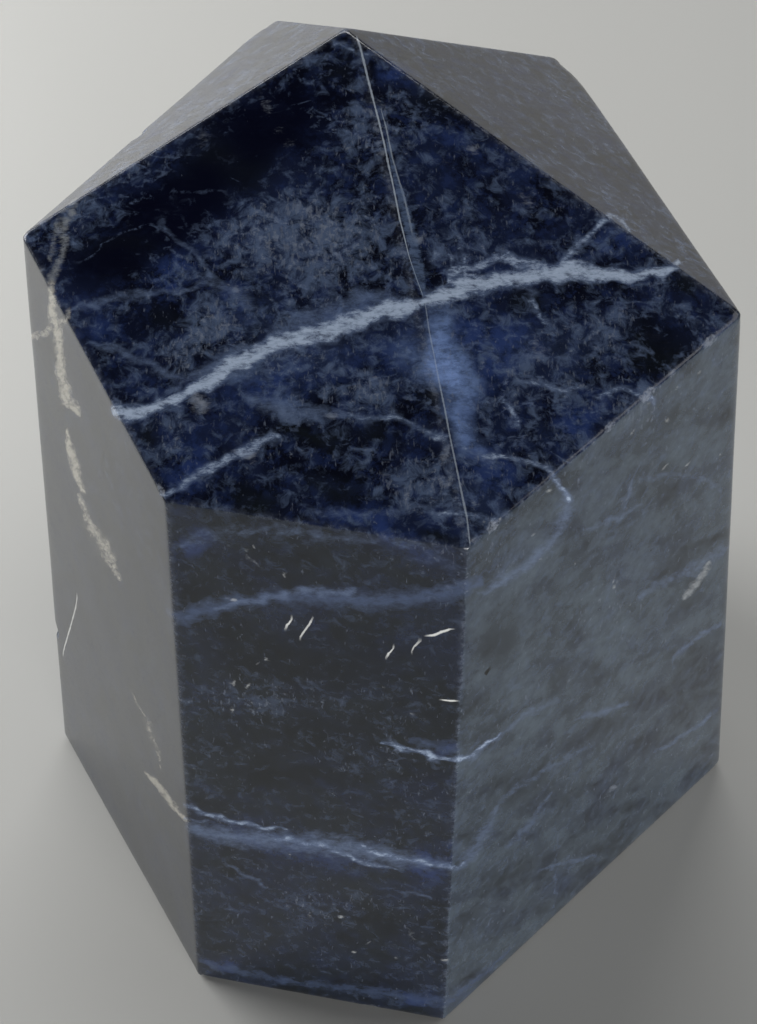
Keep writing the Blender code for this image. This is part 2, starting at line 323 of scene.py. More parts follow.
        "ridgeMid": ("frost", "near", 0.32, 0.4, "up", ((23.43, 2.36, 0.05), (24.85, 2.11, 0.05),
            (26.5, 1.81, 0.05), (28.07, 1.61, 0.03))),
        "ridgeFoot": ("frost", "near", 0.45, 0.4, "up", ((15.08, 3.8, 0.05), (16.46, 3.67, 0.07),
            (17.39, 3.48, 0.07), (18.95, 3.19, 0.06), (20.69, 2.85, 0.06), (22.14, 2.61, 0.06),
            (23.43, 2.36, 0.05))),
        "ridgeSide": ("frost", "near", 0.42, 0.4, "up", ((31.99, 0.94, 0.07), (32.86, 0.78, 0.09),
            (34.09, 0.51, 0.08), (35.2, 0.19, 0.07), (36.44, -0.14, 0.06), (38.24, -0.47, 0.06),
            (39.27, -0.75, 0.03))),
        "rubbedStrip": ("rubbed", "near", 0.77, 0.45, "up", ((28.4, 1.56, 0.13),
            (29.02, 1.4, 0.32), (29.87, 1.25, 0.44), (30.9, 1.09, 0.44), (31.88, 0.88, 0.41),
            (32.74, 0.67, 0.38), (33.91, 0.4, 0.32), (34.96, 0.13, 0.22), (36.38, -0.2, 0.1),
            (37.58, -0.47, 0.03))),
        "streakA": ("milk", "near", 0.6, 0.3, "up", ((29.24, 3.91, 0.06), (29.92, 3.81, 0.13),
            (30.61, 3.71, 0.12), (31.24, 3.62, 0.04))),
        "streakB": ("milk", "near", 0.4, 0.3, "up", ((29.91, 3.05, 0.06), (30.54, 2.95, 0.12),
            (31.05, 2.84, 0.04))),
        "streakC": ("milk", "near", 0.35, 0.3, "up", ((30.01, 2.23, 0.06), (30.69, 2.13, 0.09),
            (31.32, 2.03, 0.04))),
        "frontBand": ("blueBand", "through", 0.75, 0.1, "across", ((-12.6, 11.2, 0.29),
            (-11.58, 10.91, 0.58), (-10.41, 11.39, 0.58), (-9.26, 11.75, 0.52),
            (-7.86, 11.88, 0.46), (-6.47, 12.18, 0.46), (-5.11, 12.2, 0.58), (-3.76, 12.16, 0.63),
            (-2.41, 12.01, 0.69), (-1.08, 11.97, 0.69), (0.25, 12.09, 0.63), (1.57, 12.22, 0.58),
            (2.35, 12.45, 0.69), (3.12, 12.57, 0.69), (3.9, 12.78, 0.52), (4.44, 13.19, 0.29))),
        "frontBandLow": ("haze", "near", 0.6, 0.1, "across", ((-9.83, 11.51, 0.15),
            (-8.42, 11.82, 0.3), (-6.75, 12.12, 0.3), (-5.1, 12.53, 0.37), (-3.48, 12.5, 0.3),
            (-2.14, 12.4, 0.3))),
        "frontTopVeil": ("haze", "near", 0.39, 0.1, "across", ((-11.9, 14.85, 0.22),
            (-11.17, 15.01, 0.58), (-10.33, 15.29, 0.66), (-9.22, 15.66, 0.58),
            (-8.14, 15.77, 0.44), (-6.54, 15.83, 0.44), (-4.97, 15.67, 0.44), (-3.41, 15.47, 0.36),
            (-1.85, 15.27, 0.29), (0.22, 15.17, 0.29), (1.25, 15.02, 0.36), (1.78, 14.28, 0.29))),
        "frontScratch": ("ash", "near", 0.33, 0.3, "up", ((13.84, -7.19, 0.06),
            (14.33, -7.59, 0.1), (14.87, -8.1, 0.09), (15.35, -8.6, 0.06))),
        "lensVein": ("milk", "near", 0.62, 0.3, "across", ((-0.8, 3.47, 0.09), (-0.11, 3.36, 0.14),
            (0.63, 3.19, 0.17), (1.5, 2.96, 0.17), (2.36, 2.73, 0.17), (3.11, 2.5, 0.17),
            (3.68, 2.51, 0.17), (4.41, 2.64, 0.14), (5.13, 3.03, 0.13), (5.73, 3.46, 0.09),
            (6.22, 3.84, 0.05))),
        "lensFill": ("blueBand", "near", 0.55, 0.1, "across", ((0.91, 3.72, 0.17),
            (1.77, 3.56, 0.46), (2.63, 3.33, 0.58), (3.31, 3.16, 0.52), (3.9, 2.99, 0.29))),
        "lowBandTop": ("milk", "through", 0.5, 0.25, "across", ((-12.92, -1.42, 0.17),
            (-12.01, -1.59, 0.23), (-11.16, -1.99, 0.23), (-10.17, -2.23, 0.2),
            (-9.12, -2.48, 0.2), (-8.19, -2.65, 0.2), (-7.44, -2.69, 0.14), (-6.64, -2.72, 0.09))),
        "lowBandEdge": ("milk", "near", 0.42, 0.25, "across", ((-13.03, -2.41, 0.09),
            (-12.27, -2.34, 0.12), (-11.45, -2.37, 0.06))),
        "lowBandVeil": ("haze", "through", 0.76, 0.1, "across", ((-12.93, -2.88, 0.45),
            (-11.4, -3.25, 0.75), (-9.51, -3.53, 0.9), (-7.62, -3.58, 0.9), (-5.74, -3.7, 0.97),
            (-3.88, -3.75, 1.05), (-2.03, -4.02, 1.05), (-0.18, -4.37, 0.9), (1.66, -4.71, 0.6),
            (3.49, -4.91, 0.3))),
        "lowBandMid": ("milk", "near", 0.44, 0.2, "across", ((-7.61, -3.43, 0.1),
            (-6.36, -3.51, 0.21), (-5.12, -3.67, 0.21), (-4.01, -3.98, 0.21), (-2.96, -4.52, 0.17),
            (-2.04, -4.92, 0.17), (-0.92, -5.16, 0.17), (0.13, -5.33, 0.1))),
        "lowBandRight": ("milk", "through", 0.55, 0.25, "across", ((-1.78, -3.72, 0.17),
            (-1.17, -4.05, 0.29), (-0.43, -4.38, 0.26), (0.43, -4.48, 0.17), (1.35, -4.66, 0.17),
            (2.27, -4.83, 0.17), (3.06, -5.01, 0.2), (3.87, -5.13, 0.14), (4.38, -4.82, 0.09))),
        "lowThread": ("haze", "near", 0.53, 0.2, "across", ((-10.61, -5.41, 0.07),
            (-9.93, -5.83, 0.21), (-9.32, -6.34, 0.21), (-8.7, -6.77, 0.21), (-8.2, -7.13, 0.07))),
        "lowThreadB": ("haze", "near", 0.42, 0.2, "across", ((-0.48, -6.81, 0.07),
            (0.46, -6.99, 0.17), (1.39, -7.16, 0.17), (2.33, -7.41, 0.14))),
        "footScratch": ("ash", "near", 0.36, 0.3, "up", ((-10.99, 1.53, 0.05),
            (-10.43, 1.26, 0.09), (-9.51, 0.61, 0.1), (-8.83, -0.03, 0.06))),
        "footBand": ("blueBand", "through", 0.6, 0.1, "across", ((-13.28, -13.52, 0.17),
            (-11.99, -14.05, 0.46), (-9.94, -14.42, 0.52), (-7.56, -14.94, 0.4),
            (-4.84, -15.16, 0.46), (-2.13, -15.38, 0.58), (0.55, -15.68, 0.75),
            (2.55, -15.87, 0.86), (3.9, -15.94, 0.81), (5.29, -15.19, 0.58), (6.69, -14.25, 0.46),
            (8.1, -13.21, 0.23))),
        "scratchA": ("spark", "near", 0.8, 0.4, "up", ((10.41, -6.01, 0.07), (10.71, -5.77, 0.1),
            (11, -5.6, 0.06))),
        "scratchB": ("spark", "near", 0.68, 0.4, "up", ((9.84, -5.2, 0.06), (10.2, -4.97, 0.09),
            (10.67, -4.67, 0.07), (10.96, -4.45, 0.05))),
        "scratchC": ("spark", "near", 0.8, 0.4, "up", ((8.81, -0.48, 0.05), (9.11, -0.26, 0.09),
            (9.41, -0.05, 0.06))),
        "scratchD": ("spark", "near", 0.6, 0.4, "up", ((9.14, 0.93, 0.05), (9.55, 1.14, 0.1),
            (9.79, 1.35, 0.08))),
        "scratchE": ("spark", "near", 0.8, 0.5, "across", ((1.72, 10.08, 0.04), (2.2, 10.21, 0.11),
            (2.62, 10.38, 0.12), (3.04, 10.5, 0.06))),
        "scratchF": ("spark", "near", 0.8, 0.4, "across", ((2.64, 6.3, 0.05), (3.09, 6.25, 0.09),
            (3.47, 6.26, 0.06))),
        "rimDrift": ("haze", "near", 0.6, 0.1, "up", ((12.52, 4.71, 0.25), (12.87, 5.49, 0.32),
            (13.38, 6.28, 0.44), (13.9, 7.19, 0.38), (14.38, 7.75, 0.51), (14.98, 8.3, 0.38),
            (15.79, 8.95, 0.51), (16.6, 9.24, 0.63), (17.41, 9.27, 0.51), (18.04, 8.9, 0.25))),
        "driftA": ("haze", "near", 0.5, 0.1, "across", ((14.87, 11.7, 0.29), (16.23, 12.38, 0.48),
            (17.66, 12.89, 0.58), (18.73, 13.35, 0.77), (19.68, 13.76, 0.58), (20.69, 14.31, 0.39),
            (21.26, 14.68, 0.29))),
        "driftB": ("ash", "near", 0.67, 0.2, "up", ((11.37, 18.26, 0.28), (11.99, 18.85, 0.41),
            (12.81, 19.4, 0.35), (13.57, 19.88, 0.21))),
        "driftC": ("haze", "near", 0.5, 0.15, "across", ((10.53, 15.77, 0.1), (11.46, 16.1, 0.21),
            (12.73, 16.48, 0.26), (13.99, 17.16, 0.1))),
        "driftD": ("haze", "near", 0.58, 0.2, "across", ((11.25, 3.97, 0.15), (12.31, 4.09, 0.24),
            (13.34, 4.07, 0.29), (14.21, 4.3, 0.34), (15.08, 4.6, 0.2))),
        "driftE": ("haze", "through", 0.54, 0.2, "across", ((17.92, 0.43, 0.2),
            (18.95, 0.79, 0.29), (19.9, 1.17, 0.29), (20.84, 1.72, 0.29), (21.73, 2.12, 0.29),
            (22.57, 2.77, 0.29), (23.2, 3.22, 0.14))),
        "driftF": ("haze", "near", 0.58, 0.2, "across", ((18.19, 7.17, 0.21), (18.77, 7.95, 0.32),
            (19.5, 8.37, 0.32), (20.26, 8.72, 0.32), (20.93, 9.08, 0.32), (21.63, 9.37, 0.21))),
        "driftG": ("haze", "near", 0.54, 0.1, "up", ((-5.41, 3.82, 0.26), (-4.63, 4.77, 0.71),
            (-3.6, 5.37, 0.89), (-2.69, 5.85, 0.71), (-1.85, 6.26, 0.36), (-1.23, 6.42, 0.18))),
        "driftH": ("haze", "near", 0.52, 0.1, "up", ((-4.58, 7.33, 0.18), (-3.99, 7.99, 0.44),
            (-3.38, 8.57, 0.62), (-2.73, 9.01, 0.44), (-1.95, 9.51, 0.36), (-1.24, 10.02, 0.18))),
        "driftI": ("haze", "near", 0.51, 0.2, "across", ((9.7, -7.14, 0.2), (10.73, -6.95, 0.34),
            (11.8, -6.93, 0.39), (12.9, -7, 0.39), (14.03, -7.06, 0.2))),
        "crossLine": ("haze", "near", 0.45, 0.2, "up", ((-11.04, 11.37, 0.1), (-9.11, 11.25, 0.12),
            (-6.98, 11.11, 0.12), (-4.91, 10.9, 0.12), (-3.28, 10.66, 0.06))),
        "driftJ": ("haze", "near", 0.5, 0.1, "across", ((4.42, 2.37, 0.09), (6.22, 3.7, 0.28),
            (8.07, 4.93, 0.37), (10.04, 5.44, 0.28))),
        "driftK": ("haze", "through", 0.48, 0.1, "across", ((6.53, -0.83, 0.28),
            (8.48, 0.18, 0.37), (10.5, 1.07, 0.37), (12.58, 1.91, 0.28))),
        "rimCross": ("haze", "near", 0.45, 0.2, "up", ((16.31, 12.89, 0.07), (17.44, 13.06, 0.13),
            (18.55, 13.29, 0.13), (19.54, 13.61, 0.07))),
        "shoulderArc": ("haze", "near", 0.39, 0.1, "across", ((13.76, 18.56, 0.13),
            (15.45, 18.82, 0.39), (17.24, 18.86, 0.39), (18.96, 18.55, 0.39),
            (19.86, 17.97, 0.26))),
        "leftVeinUpper": ("cream", "near", 0.56, 0.3, "up", ((22.42, -18.01, 0.31),
            (22.67, -18.31, 0.62), (23.42, -18.67, 0.62), (24.25, -18.84, 0.54),
            (25.3, -18.77, 0.54), (26.33, -18.7, 0.54), (27.37, -18.81, 0.47),
            (28.38, -18.83, 0.39), (29.13, -18.68, 0.24))),
        "leftVeinMid": ("cream", "near", 0.61, 0.3, "up", ((17.95, -18.43, 0.26),
            (18.65, -18.55, 0.4), (19.53, -18.82, 0.52), (20.51, -18.96, 0.46),
            (21.43, -19.12, 0.13))),
        "leftVeinLow": ("cream", "near", 0.46, 0.2, "up", ((12.74, -16.29, 0.26),
            (13.46, -16.51, 0.52), (14.22, -16.88, 0.66), (14.98, -17.34, 0.66),
            (15.81, -17.89, 0.59), (16.76, -18.41, 0.46), (17.78, -18.83, 0.26))),
        # a thin crack on the left face, drawn near-white: partly the crack itself, partly a painted
        # glint where it catches the light
        "leftHookGlint": ("spark", "near", 0.7, 0.4, "up", ((6.78, -22.75, 0.05), (7.58, -22.36, 0.08),
            (8.7, -21.68, 0.09), (9.77, -21.04, 0.08), (10.65, -20.54, 0.08),
            (11.49, -20.26, 0.05))),
        "leftTail": ("cream", "near", 0.64, 0.2, "across", ((-16.01, -0.08, 0.14),
            (-15.21, -0.54, 0.35), (-14.44, -1.13, 0.41), (-13.77, -1.76, 0.35),
            (-13.1, -2.29, 0.21), (-12.73, -2.51, 0.1))),
        "leftFaint": ("cream", "near", 0.3, 0.1, "up", ((0.59, -14.46, 0.12), (1.59, -14.66, 0.35),
            (2.89, -14.98, 0.46), (4.16, -15.39, 0.35), (5.61, -16.45, 0.12))),
        "leftDarkA": ("crackAndPitShade", "near", 0.55, 0.3, "up", ((18.63, -18.11, 0.08),
            (18.89, -17.36, 0.12), (19.26, -16.79, 0.1), (19.94, -16.24, 0.09),
            (20.97, -15.73, 0.07), (21.99, -15.47, 0.05))),
        "leftDarkB": ("crackAndPitShade", "near", 0.5, 0.3, "up", ((11.76, -20.21, 0.06),
            (12.76, -20.09, 0.09), (14.06, -20.1, 0.09), (15.33, -20.11, 0.09),
            (16.39, -19.87, 0.12), (17.19, -19.32, 0.06))),
        "leftBranch": ("cream", "near", 0.4, 0.2, "across", ((-20.96, 26.84, 0.18),
            (-20.38, 26.9, 0.28), (-19.54, 26.95, 0.28), (-18.72, 26.99, 0.28),
            (-18.01, 27.11, 0.37), (-17.59, 27.43, 0.37))),
        "tipGroove": ("crackAndPitShade", "near", 0.7, 0.4, "up", ((38.15, 5.98, 0.06), (38.77, 5.32, 0.09),
            (39.56, 4.67, 0.1), (40.42, 3.95, 0.1), (41.38, 3.23, 0.09), (42.41, 2.45, 0.07),
            (43.32, 1.77, 0.05))),
        "tipStreakA": ("ash", "near", 0.2, 0.1, "across", ((-0.11, 43.68, 0.12),
            (0.93, 43.15, 0.23), (2.07, 41.79, 0.23), (3.46, 40.21, 0.23))),
        "tipStreakB": ("ash", "near", 0.18, 0.1, "up", ((34.12, 12.2, 0.17), (35.01, 11.09, 0.29),
            (37.75, 9.63, 0.29), (40.19, 8.05, 0.29), (41.4, 6.29, 0.17))),
    },
    # kind: right, up and away of the middle, half width, half height, tilt, amount
    "patches": {
        "sky": (
            (2.8, 24.7, -49.9, 1.27, 3.56, 15, 1), (2.5, 25.7, -49.4, 0.69, 1.96, 15, 1),
            (3.5, 21.1, -51.6, 0.92, 2.3, 30, 0.75), (1.1, 25.3, -49.8, 1.5, 1.5, 0, 0.35),
            (-2.7, 27.6, -48.5, 3.8, 0.69, 15, 0.32), (-5.1, 25.3, -49.4, 4.6, 1.96, 15, 0.18),
            (-5.6, 22.3, -50.7, 2.3, 0.52, -15, 0.28), (7.8, 25.5, -48.6, 4.6, 1.96, 0, 0.14),
            (-8.5, 24.2, -49.7, 1.96, 0.58, 15, 0.3), (-8.1, 27.4, -48.2, 3.45, 2.07, 0, 0.14),
            (7.9, 29.9, -46.3, 4.6, 0.58, 15, 0.22), (11.4, 31.8, -44.7, 1.38, 0.58, 30, 0.2),
            (4.4, 17.4, -53.3, 2.3, 1.5, 30, 0.14)),
        "royal": (
            (5.2, 25.7, -48.9, 2.99, 2.53, 0, 0.9), (4.9, 19, -52.4, 1.73, 2.07, 15, 0.7),
            (-1.2, 16.1, -53.8, 3.45, 0.69, -15, 0.9), (1.2, 15.1, -54.1, 2.88, 0.81, -15, 0.5),
            (-6.7, 23.5, -50.1, 2.88, 1.27, 15, 0.8), (-0.8, 24.9, -49.9, 3.45, 1.73, 15, 0.5),
            (-10.8, 19.2, -51.8, 1.73, 1.96, 0, 0.7), (-12.1, 30.1, -46.8, 1.96, 1.5, 0, 0.9),
            (-0.1, 41.6, -41.8, 1.27, 1.15, 0, 0.9), (11.9, 31.4, -44.8, 1.96, 0.92, 15, 0.8),
            (9.5, 21.6, -50.2, 2.42, 1.5, 30, 0.8), (-5.1, 26.5, -48.8, 1.73, 0.92, 15, 0.3),
            (-15.9, 26.9, -48, 1.73, 0.81, 0, 0.55), (-8.8, 28.2, -47.8, 1.27, 1.5, 0, 0.6),
            (3.1, 37.6, -43.3, 3.45, 1.04, -15, 0.5), (2.1, -4.9, -30.1, 1.84, 1.96, 0, 0.65),
            (-11.7, -13.7, -14.9, 1.5, 0.69, 0, 0.6), (1.6, -15.8, -16.7, 2.3, 0.81, -15, 0.8),
            (2.9, 3.1, -40.1, 0.92, 0.69, 0, 0.7), (-10.6, 15, -50.2, 1.44, 0.86, 0, 0.6),
            (-5.8, -4.2, -28.4, 6.9, 1.5, -15, 0.45), (3.8, -3.8, -31.6, 0.81, 1.04, 0, 0.5),
            (5, -16, -14.6, 1.04, 0.69, 0, 0.6), (14.5, 13.9, -36.1, 3.45, 1.73, 30, 0.4),
            (11.5, -8.3, -13.6, 2.88, 1.73, 15, 0.4), (6.7, 14.2, -49, 2.88, 1.5, 30, 0.4)),
        # dark patches: the small ones are the stone's own dark mottle; the three wide bands across
        # the middle of the front face are painted shade
        "sootAndShade": (
            (-4.1, 20.8, -51.5, 2.42, 0.75, 0, 1), (-0.9, 20.8, -51.7, 1.15, 1.04, 0, 0.7),
            (-3.4, 18, -52.8, 2.3, 0.92, 0, 0.8), (-12.9, 20.8, -51, 0.92, 1.27, 0, 0.9),
            (-7.3, 17.4, -52.9, 2.3, 0.81, -15, 0.9), (2.3, 15.4, -54.3, 1.38, 0.58, -15, 1),
            (7.1, 28, -47.4, 1.27, 1.04, 0, 0.7), (-12.7, 27.2, -48, 1.38, 1.27, 0, 0.6),
            (-9.4, 36, -44.2, 3.45, 2.88, 15, 0.9), (-15, 30.8, -46.2, 2.65, 1.96, 0, 0.8),
            (2.6, 40, -42.2, 2.3, 1.27, -30, 0.8), (14.4, 25.8, -47.2, 2.88, 1.96, -30, 0.8),
            (7.9, 20.6, -51, 1.61, 1.27, 30, 0.5), (-3.6, 41.7, -42, 2.3, 0.81, 15, 0.5),
            (1.6, 22.9, -50.9, 1.27, 0.92, 0, 0.6), (2.3, 17.6, -53.3, 1.73, 0.81, 0, 0.5),
            (16.3, 29, -45.2, 1.38, 0.81, -30, 0.7), (-5.3, 8.2, -43.7, 8.05, 2.3, 0, 0.8),
            (-3.7, 3.9, -38.9, 7.48, 2.3, 0, 0.75), (-5.6, 1.1, -34.9, 6.33, 0.81, 0, 0.8),
            (-11.1, 12.4, -46.9, 1.5, 0.81, 0, 0.8), (-4.5, 14, -50.9, 1.5, 0.69, 0, 0.7),
            (-0.5, -9.7, -23.4, 1.15, 1.38, 0, 0.8), (7.8, -0.4, -29.2, 3.45, 2.3, 30, 0.5),
            (5.8, 9.7, -44.9, 1.73, 2.88, 0, 0.6), (13.2, 2.9, -24.7, 2.88, 1.5, 30, 0.4)),
        "cloud": (
            (-0.5, 39.2, -43.2, 0.52, 0.58, 0, 0.5), (4.2, 37.2, -43.3, 0.58, 0.52, 0, 0.6),
            (5.3, 36.2, -43.6, 0.52, 0.4, 0, 0.55), (7.3, 33.9, -44.4, 0.86, 0.58, -15, 0.55),
            (1, 37.7, -43.6, 0.81, 0.35, 0, 0.75), (2.8, 36, -44.2, 0.81, 0.29, -15, 0.4),
            (-4, 37.1, -44.1, 0.52, 0.4, 0, 0.6), (-7, 39.9, -42.6, 0.52, 1.38, 15, 0.5),
            (-6.6, 38.3, -43.3, 0.46, 0.35, 0, 0.6), (-11, 37.4, -43.5, 1.04, 1.15, 15, 0.4),
            (-10.5, 22.2, -50.5, 0.81, 0.92, 0, 0.75), (-9.1, 26.7, -48.5, 0.46, 0.4, 0, 0.7),
            (7.8, 25.4, -48.6, 0.81, 1.15, 15, 0.6), (14.7, 24.1, -48, 0.4, 0.46, 0, 0.75),
            (2.8, 19.7, -52.4, 0.46, 0.63, 0, 0.75), (-0.4, 18.4, -52.8, 1.27, 0.35, 0, 0.55),
            (2.7, 18.3, -53.1, 0.69, 0.29, 0, 0.6), (-3.7, 22, -51, 0.58, 0.35, 0, 1),
            (-7.8, 20, -51.7, 0.52, 0.29, 15, 1.1), (-18.6, 32.1, -45.4, 0.29, 0.4, 0, 0.8),
            (1, 32, -46.5, 0.52, 0.23, 0, 0.95), (11.7, 32.5, -44.3, 0.81, 0.69, 0, 0.35),
            (-6.1, 37, -44, 0.35, 0.4, 0, 0.5), (3.3, 32.3, -45.9, 1.15, 0.46, 0, 0.35),
            (7.1, 22.1, -50.4, 0.69, 0.69, 0, 0.3), (-5.6, 24.9, -49.5, 1.5, 0.69, 15, 0.35),
            (-8.8, 29.2, -47.4, 0.29, 0.4, 0, 0.6), (-9.3, 36.6, -43.9, 0.29, 0.46, -15, 0.5),
            (-3.4, 21.3, -51.3, 0.46, 0.35, 0, 0.3), (-11.2, -12.9, -16.1, 0.58, 0.35, -15, 0.45),
            (-3.5, -9.3, -22.9, 0.46, 0.23, 0, 0.55), (14.8, -1.9, -16.2, 0.69, 0.4, -30, 0.6),
            (10.6, 6.6, -33.3, 0.29, 0.58, -30, 0.6), (2.7, 12.7, -51.6, 0.29, 0.58, 0, 0.5),
            (18.9, 22.1, -39, 0.58, 0.52, 0, 0.35), (0.7, 14.2, -52.8, 0.46, 0.23, 0, 0.4),
            (-8.7, 12, -47.2, 0.35, 0.17, 0, 0.5), (15.5, 7.6, -26.7, 0.46, 0.69, -30, 0.35),
            (6.8, -4.7, -25.6, 2.3, 1.15, 30, 0.2), (-3.9, -3.5, -29.8, 3.45, 0.69, -15, 0.2),
            (-14.6, 19.3, -47.5, 0.69, 0.58, 0, 0.2)),
        "fleck": (
            (-5.2, 31.9, -46.4, 6.33, 2.99, 0, 1), (-10.2, 26.3, -48.6, 2.99, 1.96, 15, 1),
            (1, 18.4, -52.9, 3.45, 1.96, 0, 0.9), (11.1, 26.6, -47.4, 2.88, 1.96, 0, 0.8),
            (-1.9, 23, -50.7, 2.3, 1.27, 0, 0.8), (-7.3, 6.6, -41.1, 4.31, 2.3, 0, 0.8),
            (-2, 3.6, -39.2, 6.33, 2.3, 0, 0.6), (-4, -8.4, -23.9, 5.17, 1.73, 0, 0.7),
            (13.6, 10.3, -33, 3.45, 3.45, 0, 0.5), (4.1, 31.9, -46, 3.45, 1.73, 0, 0.5),
            (-9.2, 39.3, -42.7, 3.45, 2.88, 0, 0.45), (-12.2, 21.1, -50.9, 2.3, 2.3, 0, 0.7),
            (13.2, 22, -48.1, 1.73, 1.15, 15, 0.8), (-1.4, 38, -43.8, 3.45, 3.45, 0, 0.5),
            (7.7, 23.8, -49.4, 3.45, 1.73, 0, 0.5), (5.5, 14.2, -51, 3.45, 2.3, 0, 0.4),
            (-5.6, 24.9, -49.5, 3.45, 1.73, 0, 0.5)),
        "deep": (
            (-11.8, 33.7, -45.1, 5.46, 2.88, 30, 1), (-7, 38.4, -43.3, 4.6, 3.16, 30, 1),
            (-15.3, 30.4, -46.4, 3.22, 1.84, 0, 0.9), (-13.2, 26.6, -48.3, 1.73, 0.92, 0, 0.4),
            (14.5, 26.7, -46.7, 2.3, 1.38, -30, 0.5), (3.4, 39.4, -42.3, 2.65, 1.27, -30, 0.5)),
        "glint": (
            (-7.45, 14.92, -51.1, 0.12, 0.23, 15, 0.6), (-5.92, 13.41, -49.8, 0.12, 0.29, 15, 0.6),
            (-8.74, 11.98, -47.2, 0.29, 0.14, 0, 0.7), (-7.17, 8.56, -43.5, 0.17, 0.17, 0, 0.8),
            (-7.7, 8.24, -42.9, 0.12, 0.12, 0, 0.6), (-9.11, 7.04, -41, 0.13, 0.35, -15, 0.75),
            (-8.31, 6.87, -41.1, 0.12, 0.35, -30, 0.8), (-9.35, 5.33, -38.9, 0.17, 0.26, 0, 0.7),
            (-8.15, 5.81, -39.8, 0.12, 0.12, 0, 0.6), (-0.7, 7.01, -43.7, 0.1, 0.1, 0, 0.7),
            (0.88, 5.44, -42.3, 0.1, 0.1, 0, 0.6), (1.19, 4.05, -40.7, 0.09, 0.09, 0, 0.6),
            (0.65, 13.95, -52.6, 0.17, 0.12, 0, 0.5), (-8.38, 7.49, -41.8, 0.09, 0.12, 0, 0.5),
            (-6.41, -4.64, -27.7, 0.09, 0.29, 0, 0.6), (-5.58, -4.44, -28.2, 0.09, 0.17, 0, 0.5),
            (-5.31, -9.26, -22.4, 0.1, 0.46, 0, 0.65), (-5.8, -10.11, -21.2, 0.09, 0.23, 0, 0.5),
            (-4.29, -7.44, -24.9, 0.1, 0.17, 0, 0.5), (-3.3, -9.29, -23, 0.29, 0.2, 0, 0.75),
            (-4.36, -10.01, -21.8, 0.1, 0.23, 0, 0.5), (-5.2, -11.82, -19.3, 0.1, 0.17, 0, 0.5),
            (-2.5, -12.12, -19.8, 0.23, 0.15, 0, 0.8), (-1.57, -11.3, -21.1, 0.12, 0.46, -45, 0.5),
            (3.43, -12.34, -21.4, 0.4, 0.17, 0, 0.75), (0.25, -12.42, -20.3, 0.2, 0.17, 0, 0.6),
            (16.76, 24.42, -45.4, 0.12, 0.29, -45, 0.5),
            (15.41, 23.54, -46.5, 0.12, 0.23, -45, 0.5), (15.04, 21.85, -45, 0.26, 0.26, 0, 0.5),
            (17.84, 22.66, -41.5, 0.12, 0.23, -45, 0.45),
            (15.36, 19.32, -41.3, 0.1, 0.46, -45, 0.6), (16.9, 19.47, -39.1, 0.1, 0.46, -45, 0.6),
            (19.22, 20.12, -36.1, 0.12, 0.17, -30, 0.5), (8.08, 17.87, -51.3, 0.29, 0.14, 15, 0.6),
            (7.34, 15.54, -49.6, 0.35, 0.12, 30, 0.45), (7.89, 14.16, -47.1, 0.29, 0.23, 0, 0.4),
            (10.11, 13.85, -43.1, 0.12, 0.17, -30, 0.5),
            (12.92, 12.37, -36.8, 0.17, 0.23, -15, 0.6),
            (12.85, 12.79, -37.4, 0.09, 0.46, -15, 0.55),
            (14.23, 11.17, -33.2, 0.12, 0.23, -30, 0.4),
            (15.51, 6.29, -25.1, 0.1, 0.52, -30, 0.45), (5.39, 16.4, -53.6, 0.17, 0.14, 0, 0.6),
            (4.55, 16.25, -53.8, 0.17, 0.14, 0, 0.6), (5.81, 16.77, -53.3, 0.14, 0.13, 0, 0.5),
            (-9.05, 29.07, -47.4, 0.14, 0.17, 0, 0.6), (-7.85, 18.23, -52.4, 0.12, 0.35, -15, 0.3),
            (12.9, 21.1, -47.5, 0.13, 0.4, -45, 0.5), (13.64, 22.59, -48.1, 0.12, 0.35, -60, 0.5)),
        # painted shade: tiny pits, not cut into the surface, drawn near-black for the shade inside
        # them
        "pitShade": (
            (5.16, 7.84, -43.7, 0.15, 0.15, 0, 1), (-11.56, 41.78, -34, 0.14, 0.14, 0, 1),
            (-7.93, 46.02, -28.6, 0.1, 0.1, 0, 1), (-6.22, 44.73, -34.5, 0.09, 0.09, 0, 1),
            (-14.25, 40.2, -33.9, 0.09, 0.09, 0, 1)),
    },
}


viewSine = math.sin(math.radians(stoneLook["viewRise"]))
viewCosine = math.cos(math.radians(stoneLook["viewRise"]))


def heldPlaces(points):
    # right, up the view and away from the viewer
    x, y, z = points.T
    return np.column_stack((x, y * viewSine + z * viewCosine, y * viewCosine - z * viewSine))


def heading(compass, rise):
    turn, up = math.radians(compass), math.radians(rise)
    return np.array((math.cos(up) * math.cos(turn), math.cos(up) * math.sin(turn), math.sin(up)))


def meet(cuts, names):
    normals, distances = zip(*(cuts[name] for name in names))
    return np.linalg.solve(np.array(normals), np.array(distances))


